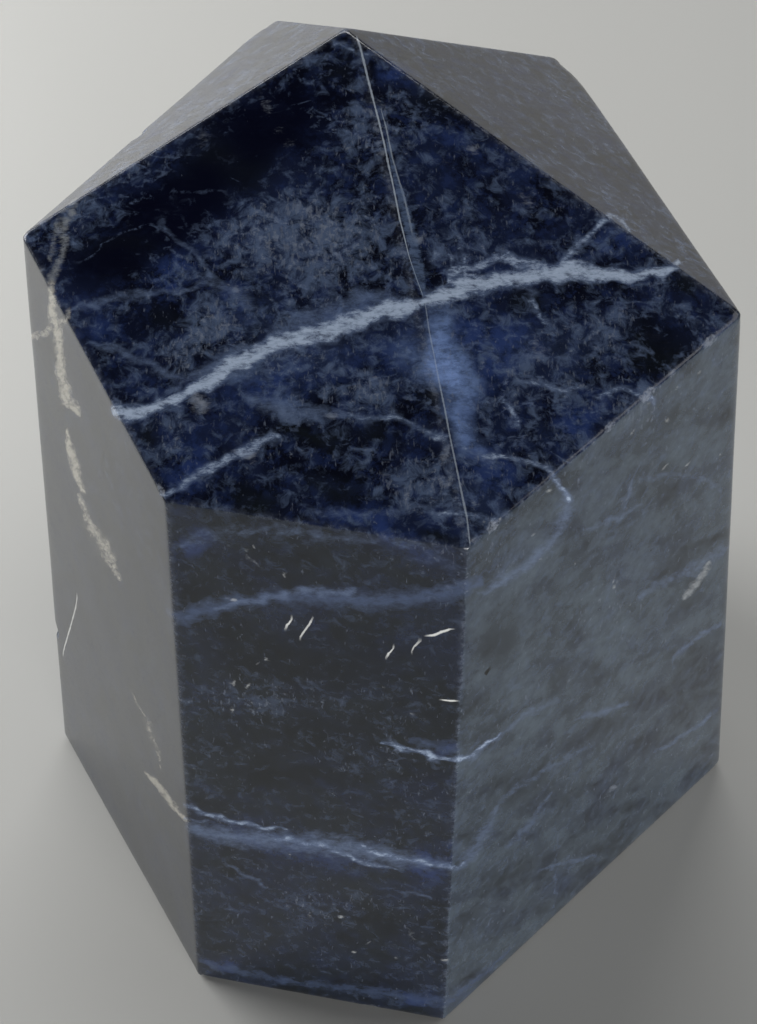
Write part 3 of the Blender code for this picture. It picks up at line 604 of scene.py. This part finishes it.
def cutPlanes():
    # every flat of the stone as an outward direction and a distance, around the footprint's middle
    cuts = {"base": (np.array((0.0, 0.0, -1.0)), 0.0)}
    for name, (compass, lean, distance) in stoneCuts["sides"].items():
        cuts[name] = (heading(compass, lean), distance * math.cos(math.radians(lean)))
    compass, slope, height = stoneCuts["tipFront"]
    normal = heading(compass, 90 - slope)
    cuts["tipFront"] = (normal, normal[2] * height)
    for name, (compass, slope, corner) in stoneCuts["tipFacets"].items():
        normal = heading(compass, 90 - slope)
        cuts[name] = (normal, normal @ meet(cuts, corner))
    rightCorner = meet(cuts, ("backRight", "back", "tipBackRight"))
    leftCorner = meet(cuts, ("back", "backLeft", "tipBackLeft"))
    summit = meet(cuts, ("tipFront", "tipBackRight", "tipBackLeft"))
    ridge = np.cross(cuts["tipBackRight"][0], cuts["tipBackLeft"][0])
    ridge = ridge / np.linalg.norm(ridge) * np.sign(ridge[1])
    top = summit + ridge * stoneCuts["summitSetback"]
    normal = np.cross(leftCorner - rightCorner, top - rightCorner)
    normal = normal / np.linalg.norm(normal) * np.sign(normal[2])
    cuts["tipBack"] = (normal, normal @ rightCorner)
    middle = np.array((*stoneCuts["footprintMiddle"], 0.0))
    return {name: (normal, distance - normal @ middle) for name, (normal, distance) in cuts.items()}


def facePolygons(cuts):
    # each face's outline, with the name of the neighbour across each side of it
    blockHalf, leastSide, outlines = 200, 0.02, {}
    for name, (normal, distance) in cuts.items():
        across = np.cross(normal, (0.0, 0.0, 1.0) if abs(normal[2]) < 0.9 else (1.0, 0.0, 0.0))
        across /= np.linalg.norm(across)
        up = np.cross(normal, across)
        ring = [(normal * distance + blockHalf * (a * across + b * up), None)
                for a, b in ((-1, -1), (1, -1), (1, 1), (-1, 1))]
        for other, (otherNormal, otherDistance) in cuts.items():
            if other == name:
                continue
            kept = []
            for index, (point, label) in enumerate(ring):
                nextPoint = ring[(index + 1) % len(ring)][0]
                here = otherNormal @ point - otherDistance
                there = otherNormal @ nextPoint - otherDistance
                if here <= 0:
                    kept.append((point, label))
                if (here <= 0) != (there <= 0):
                    crossing = point + (nextPoint - point) * here / (here - there)
                    kept.append((crossing, other if here <= 0 else label))
            ring = kept
        ring = [spot for spot, after in zip(ring, ring[1:] + ring[:1])
                if np.linalg.norm(spot[0] - after[0]) > leastSide]
        outlines[name] = (ring, across, up)
    return outlines


class WornStone:
    # how far a point is outside the worn stone, from the cuts, the edge radii and the chips
    def __init__(self, cuts, outlines, dishes):
        self.cuts, self.dishes = cuts, dishes
        self.normals = np.array([cut[0] for cut in cuts.values()])
        self.distances = np.array([cut[1] for cut in cuts.values()])
        self.names = list(cuts)
        self.edges = []
        radii = stoneCuts["edgeRadius"]
        for name, (ring, _, _) in outlines.items():
            for index, (point, other) in enumerate(ring):
                if other is None or self.names.index(other) < self.names.index(name):
                    continue
                turn = math.acos(np.clip(cuts[name][0] @ cuts[other][0], -1, 1))
                radius = radii.get((name, other)) or radii.get((other, name))
                if radius is None:
                    radius = radii["base"] if "base" in (name, other) else radii["other"]
                softness = radius * (1 - math.cos(turn / 2)) / math.log(2)
                self.edges.append((point, ring[(index + 1) % len(ring)][0], softness))
        for (first, second), (radius, flats) in stoneCuts["broadCorners"].items():
            self.addFan(first, second, radius, flats)
        # the strip that rubbing left on the ridge leans almost as the right facet does
        normal = cuts["tipFront"][0] + stoneCuts["ridgeRubLean"] * cuts["tipRight"][0]
        self.rubNormal = normal / np.linalg.norm(normal)
        self.rubStart = meet(cuts, ("tipFront", "tipRight", "tipBackRight"))

    def addFan(self, first, second, radius, flats):
        one, two = self.cuts[first], self.cuts[second]
        along = np.cross(one[0], two[0])
        along /= np.linalg.norm(along)
        middle = np.linalg.solve(np.array((one[0], two[0], along)),
                                 (one[1] - radius, two[1] - radius, 0.0))
        turn = math.acos(one[0] @ two[0])
        for number in range(flats):
            angle = turn * (number + 0.5) / flats
            normal = one[0] * math.cos(angle) + np.cross(along, one[0]) * math.sin(angle)
            self.normals = np.vstack((self.normals, normal))
            self.distances = np.append(self.distances, normal @ middle + radius)

    def gaps(self, points):
        # distance from each point to each sharp edge
        found = []
        for start, end, _ in self.edges:
            span = end - start
            share = np.clip((points - start) @ span / (span @ span), 0, 1)
            found.append(np.linalg.norm(points - start - share[:, None] * span, axis=1))
        return np.array(found)

    def softness(self, points):
        # the nearest edge counts most, and the small sum keeps a point on an edge finite
        weights = (self.gaps(points) ** 2 + 0.02) ** -1.5
        return weights.T @ np.array([edge[2] for edge in self.edges]) / weights.sum(axis=0)

    def bite(self, points):
        # how deep each point is inside the nearest chip, with a shell-like uneven floor
        x, y, z = points.T
        swell, swellX, swellZ = stoneCuts["chipSwell"]
        ragged, raggedY, raggedX = stoneCuts["chipRagged"]
        shell, shellClose = stoneCuts["chipShell"]
        deepest = np.full(len(points), -math.inf)
        for centre, radius in self.dishes:
            away = np.linalg.norm(points - centre, axis=1)
            uneven = (swell * np.sin(x * swellX + centre[1]) * np.sin(z * swellZ + centre[0])
                      + ragged * np.sin(y * raggedY + x * raggedX))
            floor = radius * (1 + uneven) - away + shell * np.sin(away * shellClose)
            deepest = np.maximum(deepest, floor)
        return deepest

    def outside(self, points, softness):
        depth = points @ self.normals.T - self.distances
        depth += stoneCuts["waviness"] * self.wave(points)[:, None]
        x, y, reach, swell = stoneCuts["crown"]
        crown = swell * np.exp(-((points[:, 0] - x) ** 2 + (points[:, 1] - y) ** 2) / reach ** 2)
        depth[:, self.names.index("tipRight")] -= crown
        rubHeights, rubDepths = zip(*stoneCuts["ridgeRub"])
        rub = np.interp(heldPlaces(points)[:, 1], rubHeights, rubDepths)
        strip = (points - self.rubStart) @ self.rubNormal + rub
        depth = np.column_stack((depth, strip))
        top = depth.max(axis=1)
        shares = np.exp((depth - top[:, None]) / softness[:, None])
        value = top + softness * np.log(shares.sum(axis=1))
        crisp = stoneCuts["chipRim"]
        bite = self.bite(points)
        top = np.maximum(value, bite)
        return top + crisp * np.log(np.exp((value - top) / crisp) + np.exp((bite - top) / crisp))

    def wave(self, points):
        # slow swells of different lengths and directions, added up
        reach = stoneCuts["wavinessReach"]
        x, y, z = (points / reach * 2 * math.pi).T
        return (np.sin(x * 0.9 + 1.3 + 0.7 * np.sin(z * 0.6)) * np.cos(z * 0.8 + 0.4)
                + np.sin(y * 1.1 + z * 0.5 + 2.1) + 0.5 * np.sin(x * 1.7 - y * 1.3 + z * 1.1))

    def settle(self, points):
        # walks each point along the slope until it lies on the worn surface
        softness = self.softness(points)
        step, rounds, leastSlope = 1e-4, 6, 0.2
        for _ in range(rounds):
            value = self.outside(points, softness)
            slope = np.column_stack([
                (self.outside(points + step * axis, softness) - value) / step
                for axis in np.eye(3)])
            slope /= np.maximum((slope ** 2).sum(axis=1), leastSlope)[:, None]
            points = points - value[:, None] * slope
        return points

    def wear(self, points):
        # how rubbed and how broken the surface is at each point, from 0 to 1
        rubbed = np.exp(-(self.gaps(points).min(axis=0) / stoneCuts["wearReach"]) ** 2)
        fade = stoneCuts["brokenFade"]
        broken = np.clip((self.bite(points) + fade) / fade, 0, 1)
        return rubbed, broken


class StonePainter:
    # where each vein and patch of the stone lies, from 0 to 1 at every point of its surface
    def __init__(self, cuts):
        self.seen = [cuts[name] for name in ("front", "right", "left", "tipFront", "tipRight")]
        self.faces = list(cuts.values())
        self.tips = [number for number, name in enumerate(cuts) if name.startswith("tip")]
        self.sideLightWashes = np.array([stoneLook["sideLightWashes"].get(name, 0.0) for name in cuts])

    def near(self, points):
        # small veins end a few millimetres under the tip and the three upright faces
        depth = np.max([points @ normal - distance for normal, distance in self.seen], axis=0)
        return np.clip((depth + stoneLook["nearDepth"]) / stoneLook["nearFade"], 0, 1)

    def lineGap(self, held, run, points, breadth=1.0):
        # signed distance from a drawn line, 1 at its half width, and how far past its ends
        along, across = held[:, :2].T if run == "across" else held[:, 1::-1].T
        start, middle, half = np.array(points).T
        wide = half * breadth * np.sqrt(1 + np.gradient(middle, start) ** 2)
        gap = (across - np.interp(along, start, middle)) / np.interp(along, start, wide)
        return gap, np.maximum(start[0] - along, along - start[-1]) / stoneLook["veinTaper"]

    def veinGap(self, held, run, points):
        # distance from a soft vein, 1 at its half width, with rounded ends
        gap, past = self.lineGap(held, run, points, stoneLook["veinBreadth"])
        return np.where(past > 0, np.hypot(gap, past), np.abs(gap))

    def patchGap(self, held, right, up, away, wide, tall, tilt):
        # distance from the middle of a tilted oval, 1 at its rim
        cosine, sine = math.cos(math.radians(tilt)), math.sin(math.radians(tilt))
        x, y, z = (held - (right, up, away)).T
        least, share = stoneLook["patchDepth"]
        deep = least + share * max(wide, tall)
        return np.sqrt(((x * cosine + y * sine) / wide) ** 2
                       + ((y * cosine - x * sine) / tall) ** 2 + (z / deep) ** 2)

    def stray(self, held, reach, size):
        # pushes the places about a little, so that no patch is a plain oval
        x, y, z = (held / size).T
        return held + reach * np.column_stack((
            np.sin(y * 2.1 + 1.3 * np.sin(x * 1.7 + z)) + 0.5 * np.sin(x * 4.3 - y * 3.1),
            np.sin(x * 2.3 + 1.1 * np.sin(y * 1.9 - z)) + 0.5 * np.sin(y * 4.7 + x * 3.7),
            np.sin(x * 1.9 + y * 1.3)))

    def masks(self, points):
        held, near = heldPlaces(points), self.near(points)
        found = {"nearSide": near}
        frayed = self.stray(held, *stoneLook["veinStray"])
        for name, (tint, reach, strength, plateau, run, line) in stoneLook["veins"].items():
            if tint in stoneLook["crispVeins"]:
                # thin lines keep their signed distance, which stays true between far points
                found[name] = self.lineGap(held, run, line)[0]
                continue
            flank = 1 - plateau * stoneLook["veinSides"]
            share = strength * np.clip((1 - self.veinGap(frayed, run, line)) / flank, 0, 1)
            share *= near if reach == "near" else 1.0
            found[tint + "Vein"] = np.maximum(found.get(tint + "Vein", 0), share)
        strayed = self.stray(held, *stoneLook["patchStray"])
        end, fade = stoneLook["patchEdge"]
        for kind, spots in stoneLook["patches"].items():
            crisp = kind in stoneLook["crispPatches"]
            for *spot, amount in spots:
                gap = self.patchGap(held if crisp else strayed, *spot)
                share = amount * np.clip((end - gap) / fade, 0, 1)
                share = share if crisp else share * share * (3 - 2 * share)
                found[kind + "Patch"] = np.maximum(found.get(kind + "Patch", 0), share)
        depth = np.array([points @ normal - distance for normal, distance in self.faces])
        face = depth.argmax(axis=0)
        found["upright"] = 1.0 * ~np.isin(face, self.tips)
        # painted light: each point carries the paleness given to its face
        found["paintedSideLight"] = self.sideLightWashes[face]
        return found

    def wantsDetail(self, points):
        # true beside veins and small marks, where the surface needs closer points
        held, near = heldPlaces(points), self.near(points) > 0
        veinReach, markReach = 1.15, 1.4
        wanted = np.zeros(len(points), bool)
        for tint, reach, _, _, run, line in stoneLook["veins"].values():
            if tint not in stoneLook["crispVeins"]:
                beside = self.veinGap(held, run, line) < veinReach
                wanted |= beside & (near if reach == "near" else True)
        for kind in stoneLook["crispPatches"]:
            for *spot, _ in stoneLook["patches"][kind]:
                wanted |= self.patchGap(held, *spot) < markReach
        return wanted


def chipDishes(cuts):
    dishes = []
    for edge, ends, place, radius, depth in stoneCuts["chips"]:
        start, finish = meet(cuts, (*edge, ends[0])), meet(cuts, (*edge, ends[1]))
        outward = cuts[edge[0]][0] + cuts[edge[1]][0]
        outward /= np.linalg.norm(outward)
        dishes.append((start + (finish - start) * place + outward * (radius - depth), radius))
    return dishes


def evenField(low, high, step):
    rowStep = step * stoneCuts["rowShare"]
    across, up = np.meshgrid(np.arange(low[0], high[0], step), np.arange(low[1], high[1], rowStep))
    across = across + (np.arange(len(across)) % 2)[:, None] * step / 2
    return np.column_stack((across.ravel(), up.ravel()))


def faceGrid(outline, dishes, painter):
    # points on one flat face: close rows beside its edges, an even field inside, a fine one at
    # veins and chips
    ring, across, up = outline
    corners = [point for point, _ in ring]
    origin = sum(corners) / len(corners)
    flat = np.array([((p - origin) @ across, (p - origin) @ up) for p in corners])
    sides = []
    for index, start in enumerate(flat):
        end = flat[(index + 1) % len(flat)]
        along = (end - start) / np.linalg.norm(end - start)
        inward = np.array((-along[1], along[0]))
        if inward @ (flat.mean(axis=0) - start) < 0:
            inward = -inward
        sides.append((start, end, inward))

    def clear(points, depth, skip=None):
        keep = np.ones(len(points), bool)
        for index, (start, _, inward) in enumerate(sides):
            if index != skip:
                keep &= (points - start) @ inward > depth
        return points[keep]

    border, inner = [], []
    for index, (start, end, inward) in enumerate(sides):
        count = max(2, round(np.linalg.norm(end - start) / stoneCuts["alongStep"]))
        shares = np.arange(count) / count
        border.append(start + shares[:, None] * (end - start))
        for row, depth in enumerate(stoneCuts["rowDepths"]):
            shares = (np.arange(count) + (0.5 if row % 2 else 0.0)) / count
            line = start + shares[:, None] * (end - start) + depth * inward
            inner.append(clear(line, depth * 0.999, index))  # a hair less, for rounding
    step = stoneCuts["fieldStep"]
    field = evenField(flat.min(axis=0), flat.max(axis=0), step)
    inner.append(clear(field, stoneCuts["rowDepths"][-1] + step * stoneCuts["fieldMargin"]))
    inner = np.vstack(inner)
    fine = evenField(flat.min(axis=0), flat.max(axis=0), stoneCuts["veinStep"])
    fine = clear(fine, stoneCuts["fineDepth"])
    fine = fine[painter.wantsDetail(origin + fine[:, :1] * across + fine[:, 1:] * up)]
    if len(fine):
        cell = stoneCuts["veinStep"] * stoneCuts["veinMargin"]
        taken = {tuple(key) for key in np.floor(fine / cell).astype(int)}
        free = [tuple(key) not in taken for key in np.floor(inner / cell).astype(int)]
        inner = np.vstack((inner[free], fine))
    for centre, radius in dishes:
        local = np.array(((centre - origin) @ across, (centre - origin) @ up))
        away = (centre - origin) @ np.cross(across, up)
        reach = math.sqrt(max(0.0, (radius * stoneCuts["chipReach"]) ** 2 - away ** 2))
        if reach == 0:
            continue
        reach += stoneCuts["chipMargin"]
        inner = inner[np.linalg.norm(inner - local, axis=1) > reach]
        fine = evenField(local - reach, local + reach, stoneCuts["chipStep"])
        fine = fine[np.linalg.norm(fine - local, axis=1) < reach - stoneCuts["chipInset"]]
        inner = np.vstack((inner, clear(fine, stoneCuts["chipClear"])))
    return origin, np.vstack(border), inner


def wornStoneMesh():
    cuts = cutPlanes()
    outlines = facePolygons(cuts)
    dishes = chipDishes(cuts)
    stone = WornStone(cuts, outlines, dishes)
    painter = StonePainter(cuts)
    places, triangles = [], []
    for name, outline in outlines.items():
        _, across, up = outline
        origin, border, inner = faceGrid(outline, dishes, painter)
        flat = [Vector(p) for p in np.vstack((border, inner))]
        loop = [(i, (i + 1) % len(border)) for i in range(len(border))]
        spots, _, made, *_ = geometry.delaunay_2d_cdt(flat, loop, [], 1, 1e-5)
        base = len(places)
        places.extend(origin + s.x * across + s.y * up for s in spots)
        outward = cuts[name][0]
        for a, b, c in made:
            one, two, three = places[base + a], places[base + b], places[base + c]
            if np.cross(two - one, three - one) @ outward < 0:
                b, c = c, b
            triangles.append((base + a, base + b, base + c))
    places = np.array(places)
    keys = np.round(places / stoneCuts["weldStep"]).astype(int)
    _, first, inverse = np.unique(keys, axis=0, return_index=True, return_inverse=True)
    places, inverse = places[first], inverse.ravel()
    triangles = [tuple(inverse[i] for i in t) for t in triangles]
    triangles = [t for t in triangles if len(set(t)) == 3]
    places = stone.settle(places)
    masks = painter.masks(places)
    masks["rubbedRim"], masks["brokenFace"] = stone.wear(places)
    places = np.clip(places, np.array(cadLow) / mm, np.array(cadHigh) / mm)
    mesh = bpy.data.meshes.new("sodaliteStone")
    mesh.from_pydata((places * mm).tolist(), [], triangles)
    for name, values in masks.items():
        kept = mesh.attributes.new(name, "FLOAT", "POINT")
        kept.data.foreach_set("value", values.astype(np.float32))
    mesh.shade_smooth()
    return mesh


stoneMesh = wornStoneMesh()
sodaliteStone = bpy.data.objects.new("sodaliteStone", stoneMesh)
bpy.context.scene.collection.objects.link(sodaliteStone)
print("stone ground:", len(stoneMesh.vertices), "points,", len(stoneMesh.polygons), "triangles")


class Field:
    # one socket of the material; sums and products of fields add Math nodes
    def __init__(self, tree, socket=None):
        self.tree, self.socket = tree, socket

    def make(self, kind, settings=None, sockets=None, output=0):
        node = self.tree.nodes.new(kind)
        for name, value in (settings or {}).items():
            setattr(node, name, value)
        for name, value in (sockets or {}).items():
            if isinstance(value, Field):
                self.tree.links.new(value.socket, node.inputs[name])
            else:
                node.inputs[name].default_value = value
        if isinstance(output, tuple):
            return [Field(self.tree, node.outputs[name]) for name in output]
        return Field(self.tree, node.outputs[output])

    def math(self, operation, *others):
        sockets = dict(enumerate((self, *others)))
        return self.make("ShaderNodeMath", {"operation": operation}, sockets)

    def __add__(self, other):
        return self.math("ADD", other)

    def __sub__(self, other):
        return self.math("SUBTRACT", other)

    def __mul__(self, other):
        return self.math("MULTIPLY", other)

    def __rsub__(self, other):
        return self.make("ShaderNodeMath", {"operation": "SUBTRACT"}, {0: other, 1: self})

    def __abs__(self):
        return self.math("ABSOLUTE")

    __radd__, __rmul__ = __add__, __mul__

    def step(self, low, high):
        # a clamp would be one more node for the renderer to hold, and a smooth step needs none
        return self.make("ShaderNodeMapRange", {"interpolation_type": "SMOOTHSTEP", "clamp": False},
                         {"Value": self, "From Min": low, "From Max": high})

    def cover(self, name):
        # the mask that stoneLook describes under this name
        low, high, share = stoneLook["covers"][name]
        mask = self.step(low, high)
        return mask if share == 1 else mask * share

    def painted(self, name):
        # one of the masks that the surface carries
        return self.make("ShaderNodeAttribute", {"attribute_name": name}, output="Fac")

    def over(self, under, tint):
        # lays a tint over a colour where this field is 1
        return self.make("ShaderNodeMix", {"data_type": "RGBA"}, {0: self, 6: under, 7: tint}, 2)

    def noise(self, scale, detail, roughness, twist):
        return self.make("ShaderNodeTexNoise", {}, {
            "Vector": self, "Scale": scale, "Detail": detail, "Roughness": roughness,
            "Distortion": twist}, "Fac")

    def moved(self, turn, stretch):
        return self.make("ShaderNodeMapping", {"vector_type": "POINT"}, {
            "Vector": self, "Rotation": (0, 0, math.radians(turn)), "Scale": stretch})


def sodaliteMaterial():
    sodalite = bpy.data.materials.new("polishedSodalite")
    sodalite.use_nodes = True
    tree = sodalite.node_tree
    shader = tree.nodes["Principled BSDF"]
    tints = {name: (*tint, 1) for name, tint in stoneLook["tints"].items()}
    frays, shares = stoneLook["frays"], stoneLook["shares"]
    start = Field(tree)

    own = start.make("ShaderNodeTexCoord", output="Object")
    body = start.make("ShaderNodeVectorMath", {"operation": "SCALE"}, {0: own, "Scale": 1 / mm})
    x, y, z = start.make("ShaderNodeSeparateXYZ", {}, {0: body}, (0, 1, 2))
    up = y * viewSine + z * viewCosine
    away = y * viewCosine - z * viewSine
    held = start.make("ShaderNodeCombineXYZ", {}, {0: x, 1: up, 2: away})

    crispVeins = {name: vein for name, vein in stoneLook["veins"].items()
                  if vein[0] in stoneLook["crispVeins"]}
    tinted = dict.fromkeys(vein[0] for vein in stoneLook["veins"].values())
    veins = {tint: start.painted(tint + "Vein") for tint in tinted
             if tint not in stoneLook["crispVeins"]}
    patches = {kind: start.painted(kind + "Patch") for kind in stoneLook["patches"]}
    nearSide, upright = start.painted("nearSide"), start.painted("upright")
    rim, broken = start.painted("rubbedRim"), start.painted("brokenFace")
    noises = {}
    for name, (*grade, turn, stretch) in stoneLook["noises"].items():
        noises[name] = (held.moved(turn, stretch) if stretch else body).noise(*grade)
    cloudy, grain, shreds = noises["cloudy"], noises["grain"], noises["shreds"]
    spatter, wisp, wander = noises["spatter"], noises["wisp"], noises["wander"]

    def grainy(mask, amount, low, high):
        # breaks a smooth mask up into crystals
        return ((shreds - 0.5) * amount + mask).step(low, high) * mask.cover("insideVein")

    # the dark body of the stone: night to navy, royal blue and dark soot patches; painted shade
    # darkens the upright faces and painted light washes some of them paler, face by face
    colour = noises["mottle"].cover("navy").over(tints["night"], tints["navy"])
    colour = cloudy.cover("royalMottle").over(colour, tints["royal"])
    # painted shade: every upright face is laid at least half over with the dark soot tint, mottled,
    # so it comes out darker than the tip facets
    shadedUpright = upright * (noises["mottle"].cover("uprightShadeMottle") + shares["uprightShade"])
    colour = shadedUpright.over(colour, tints["sootAndShade"])
    colour = (patches["royal"] * cloudy.cover("royal")).over(colour, tints["royal"])
    # painted light: a pale slate wash over the upright faces, stronger on some faces than on
    # others, stands in for the light that falls on each
    sideLightWash = start.painted("paintedSideLight") * (wisp.cover("sideLightWisp") + cloudy.cover("sideLightCloudy"))
    colour = sideLightWash.over(colour, tints["sideLightTint"])
    # dark patches, partly the stone's own dark mottle and partly painted shade across the front
    # face
    colour = (patches["sootAndShade"] * shares["sootAndShade"]).over(colour, tints["sootAndShade"])
    colour = (patches["deep"] * shares["deep"]).over(colour, tints["deep"])

    # grains in it, thick or thin by the patches
    density = wander.cover("fleckDrift") + upright * stoneLook["density"]["upright"]
    for kind in ("fleck", "deep", "sootAndShade"):
        density = density + patches[kind] * stoneLook["density"][kind]
    denser = {name: density * reach for name, reach in stoneLook["densityReach"].items()}
    bloom = (noises["puff"] + denser["bloom"]).cover("bloom")
    bloom = bloom * (upright * shares["uprightBloom"] + shares["bloom"])
    colour = bloom.over(colour, tints["bloom"])
    glow = shreds.cover("skyShreds") + cloudy.cover("skyCloudy") + shares["skyLeast"]
    colour = (patches["sky"] * glow).over(colour, tints["sky"])
    specks = (noises["fleck"] + denser["specks"]).cover("specks")
    colour = specks.over(colour, tints["speck"])
    colour = (spatter + denser["blots"]).cover("blots").over(colour, tints["cloud"])
    threads = abs(wisp - 0.5).cover("threadLine") * spatter.cover("threadSpatter")
    threads = threads * wander.cover("threadDrift")
    threads = threads * (upright * shares["uprightThread"] + shares["thread"])
    colour = threads.over(colour, tints["haze"])
    cloud = grainy(patches["cloud"], *frays["cloud"]) * shares["cloud"]
    colour = cloud.over(colour, tints["cloud"])

    # veins, and the marks that lie over them
    for tint in ("blueBand", "haze", "ash", "cream"):
        colour = grainy(veins[tint], *frays[tint]).over(colour, tints[tint])
    halo = veins["milk"].cover("halo") * (shreds.cover("haloShreds") + shares["haloLeast"])
    colour = halo.over(colour, tints["haze"])
    milk = grainy(veins["milk"], *frays["milk"])
    colour = milk.over(colour, tints["milk"])
    glints = patches["glint"].cover("glint") * shreds.cover("glintShreds")
    colour = glints.over(colour, tints["glint"])
    thin, end = stoneLook["thinLine"], stoneLook["veinTaper"]
    for name, (tint, _, strength, plateau, run, line) in crispVeins.items():
        along, first, last = (x if run == "across" else up), line[0][0], line[-1][0]
        width = (shreds - 0.5) * thin["ragged"] + 1.0
        soft = thin["soft"] + thin["plateau"] * plateau
        mark = (width - abs(start.painted(name))).step(0.0, soft) * nearSide
        if tint == "rubbed":
            mark = mark * (shreds.cover("rubbedShreds") + shares["rubbedLeast"])
        mark = mark * along.step(first - end, first + end) * along.step(last + end, last - end)
        colour = (mark * strength).over(colour, tints[tint])
    # painted shade: the tiny pits get the near-black crack tint in place of real hollows
    colour = patches["pitShade"].cover("pitShade").over(colour, tints["crackAndPitShade"])

    # worn rims and chips
    rimWear = rim * (spatter.cover("rimSpatter") + shares["rimLeast"])
    colour = (rimWear * shares["rim"]).over(colour, tints["speck"])
    colour = (broken * grain.cover("brokenGrain")).over(colour, tints["cloud"])
    tree.links.new(colour.socket, shader.inputs["Base Color"])

    rough = stoneLook["polish"]
    marks = {"milk": milk, "specks": specks, "scuffs": noises["scuffs"].cover("scuffs"),
             "rim": rimWear, "broken": broken, "cloudy": cloudy.cover("dullCloudy")}
    for name, mark in marks.items():
        rough = mark * stoneLook["roughened"][name] + rough
    tree.links.new(rough.socket, shader.inputs["Roughness"])
    shader.inputs["IOR"].default_value = stoneLook["shine"]

    relief = stoneLook["relief"]
    height = grain * (broken * relief["broken"] + relief["grain"]) + cloudy * relief["cloudy"]
    bump = start.make("ShaderNodeBump", {}, {"Height": height, "Strength": relief["strength"],
                      "Distance": relief["depth"] * mm}, "Normal")
    tree.links.new(bump.socket, shader.inputs["Normal"])
    print("sodalite mixed:", len(tree.nodes), "nodes")
    return sodalite


stoneMesh.materials.append(sodaliteMaterial())

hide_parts("sodalite_point")
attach(sodaliteStone, "root")

# The plain table top and the light of a small studio, in millimetres and degrees.
studio = {
    "floorSize": 1600,
    "floorTone": (0.525, 0.525, 0.505),
    "softboxes": {                           # compass, elevation, distance, width, height, watts
        "keyLeft": (152.0, 32.0, 190.0, 120.0, 110.0, 0.30),
        "fillRight": (12.0, 38.0, 460.0, 300.0, 260.0, 0.42),
        "backLight": (92.0, 32.0, 600.0, 500.0, 200.0, 1.7),
        "frontFill": (290.0, 8.0, 480.0, 360.0, 100.0, 1.8),
    },
    "darkRoom": (0.02, 0.02, 0.022),
    "floorRoughness": 0.9,
    "floorShine": 0.1,
    "floorDrop": 0.02,                       # the table lies this far under the stone
}


def layFloor():
    size = studio["floorSize"] / 2 * mm
    level = -studio["floorDrop"] * mm
    mesh = bpy.data.meshes.new("tableTop")
    corners = ((-size, -size), (size, -size), (size, size), (-size, size))
    mesh.from_pydata([(x, y, level) for x, y in corners], [], [(0, 1, 2, 3)])
    paper = bpy.data.materials.new("palePaper")
    paper.use_nodes = True
    shader = paper.node_tree.nodes["Principled BSDF"]
    shader.inputs["Base Color"].default_value = (*studio["floorTone"], 1)
    shader.inputs["Roughness"].default_value = studio["floorRoughness"]
    shader.inputs["Specular IOR Level"].default_value = studio["floorShine"]
    mesh.materials.append(paper)
    floor = bpy.data.objects.new("tableTop", mesh)
    bpy.context.scene.collection.objects.link(floor)


def hangLights():
    for name, (compass, elevation, distance, width, height, watts) in studio["softboxes"].items():
        lamp = bpy.data.lights.new(name, "AREA")
        lamp.shape, lamp.size, lamp.size_y = "RECTANGLE", width * mm, height * mm
        lamp.energy = watts
        holder = bpy.data.objects.new(name, lamp)
        spot = Vector(heading(compass, elevation)) * distance * mm
        holder.location = spot
        holder.rotation_mode = "QUATERNION"
        holder.rotation_quaternion = (-spot).to_track_quat("-Z", "Y")
        bpy.context.scene.collection.objects.link(holder)
    world = bpy.data.worlds.new("darkRoom")
    world.use_nodes = True
    world.node_tree.nodes["Background"].inputs["Color"].default_value = (*studio["darkRoom"], 1)
    bpy.context.scene.world = world


layFloor()
hangLights()
print("floor laid and lights hung")

# The camera stands where the photographer stood: elevation in degrees, the rest in millimetres.
cameraView = {
    "elevation": 50.0,
    "lens": 85.0,
    "film": 36.0,
    "distance": 159.0,
    "lookAt": (-0.89, 0.31, 25.7),
    "nearest": 5.0,
    "farthest": 20000.0,
}


def placeCamera():
    rise = math.radians(cameraView["elevation"])
    back = Vector((0.0, -math.cos(rise), math.sin(rise)))
    lens = bpy.data.cameras.new("viewCamera")
    lens.lens, lens.sensor_width = cameraView["lens"], cameraView["film"]
    lens.clip_start, lens.clip_end = cameraView["nearest"] * mm, cameraView["farthest"] * mm
    holder = bpy.data.objects.new("viewCamera", lens)
    holder.location = (Vector(cameraView["lookAt"]) + back * cameraView["distance"]) * mm
    holder.rotation_mode = "QUATERNION"
    holder.rotation_quaternion = (-back).to_track_quat("-Z", "Y")
    bpy.context.scene.collection.objects.link(holder)
    bpy.context.scene.camera = holder


placeCamera()
bpy.context.scene.view_settings.view_transform = "Standard"
print("camera placed")

bpy.context.view_layer.update()
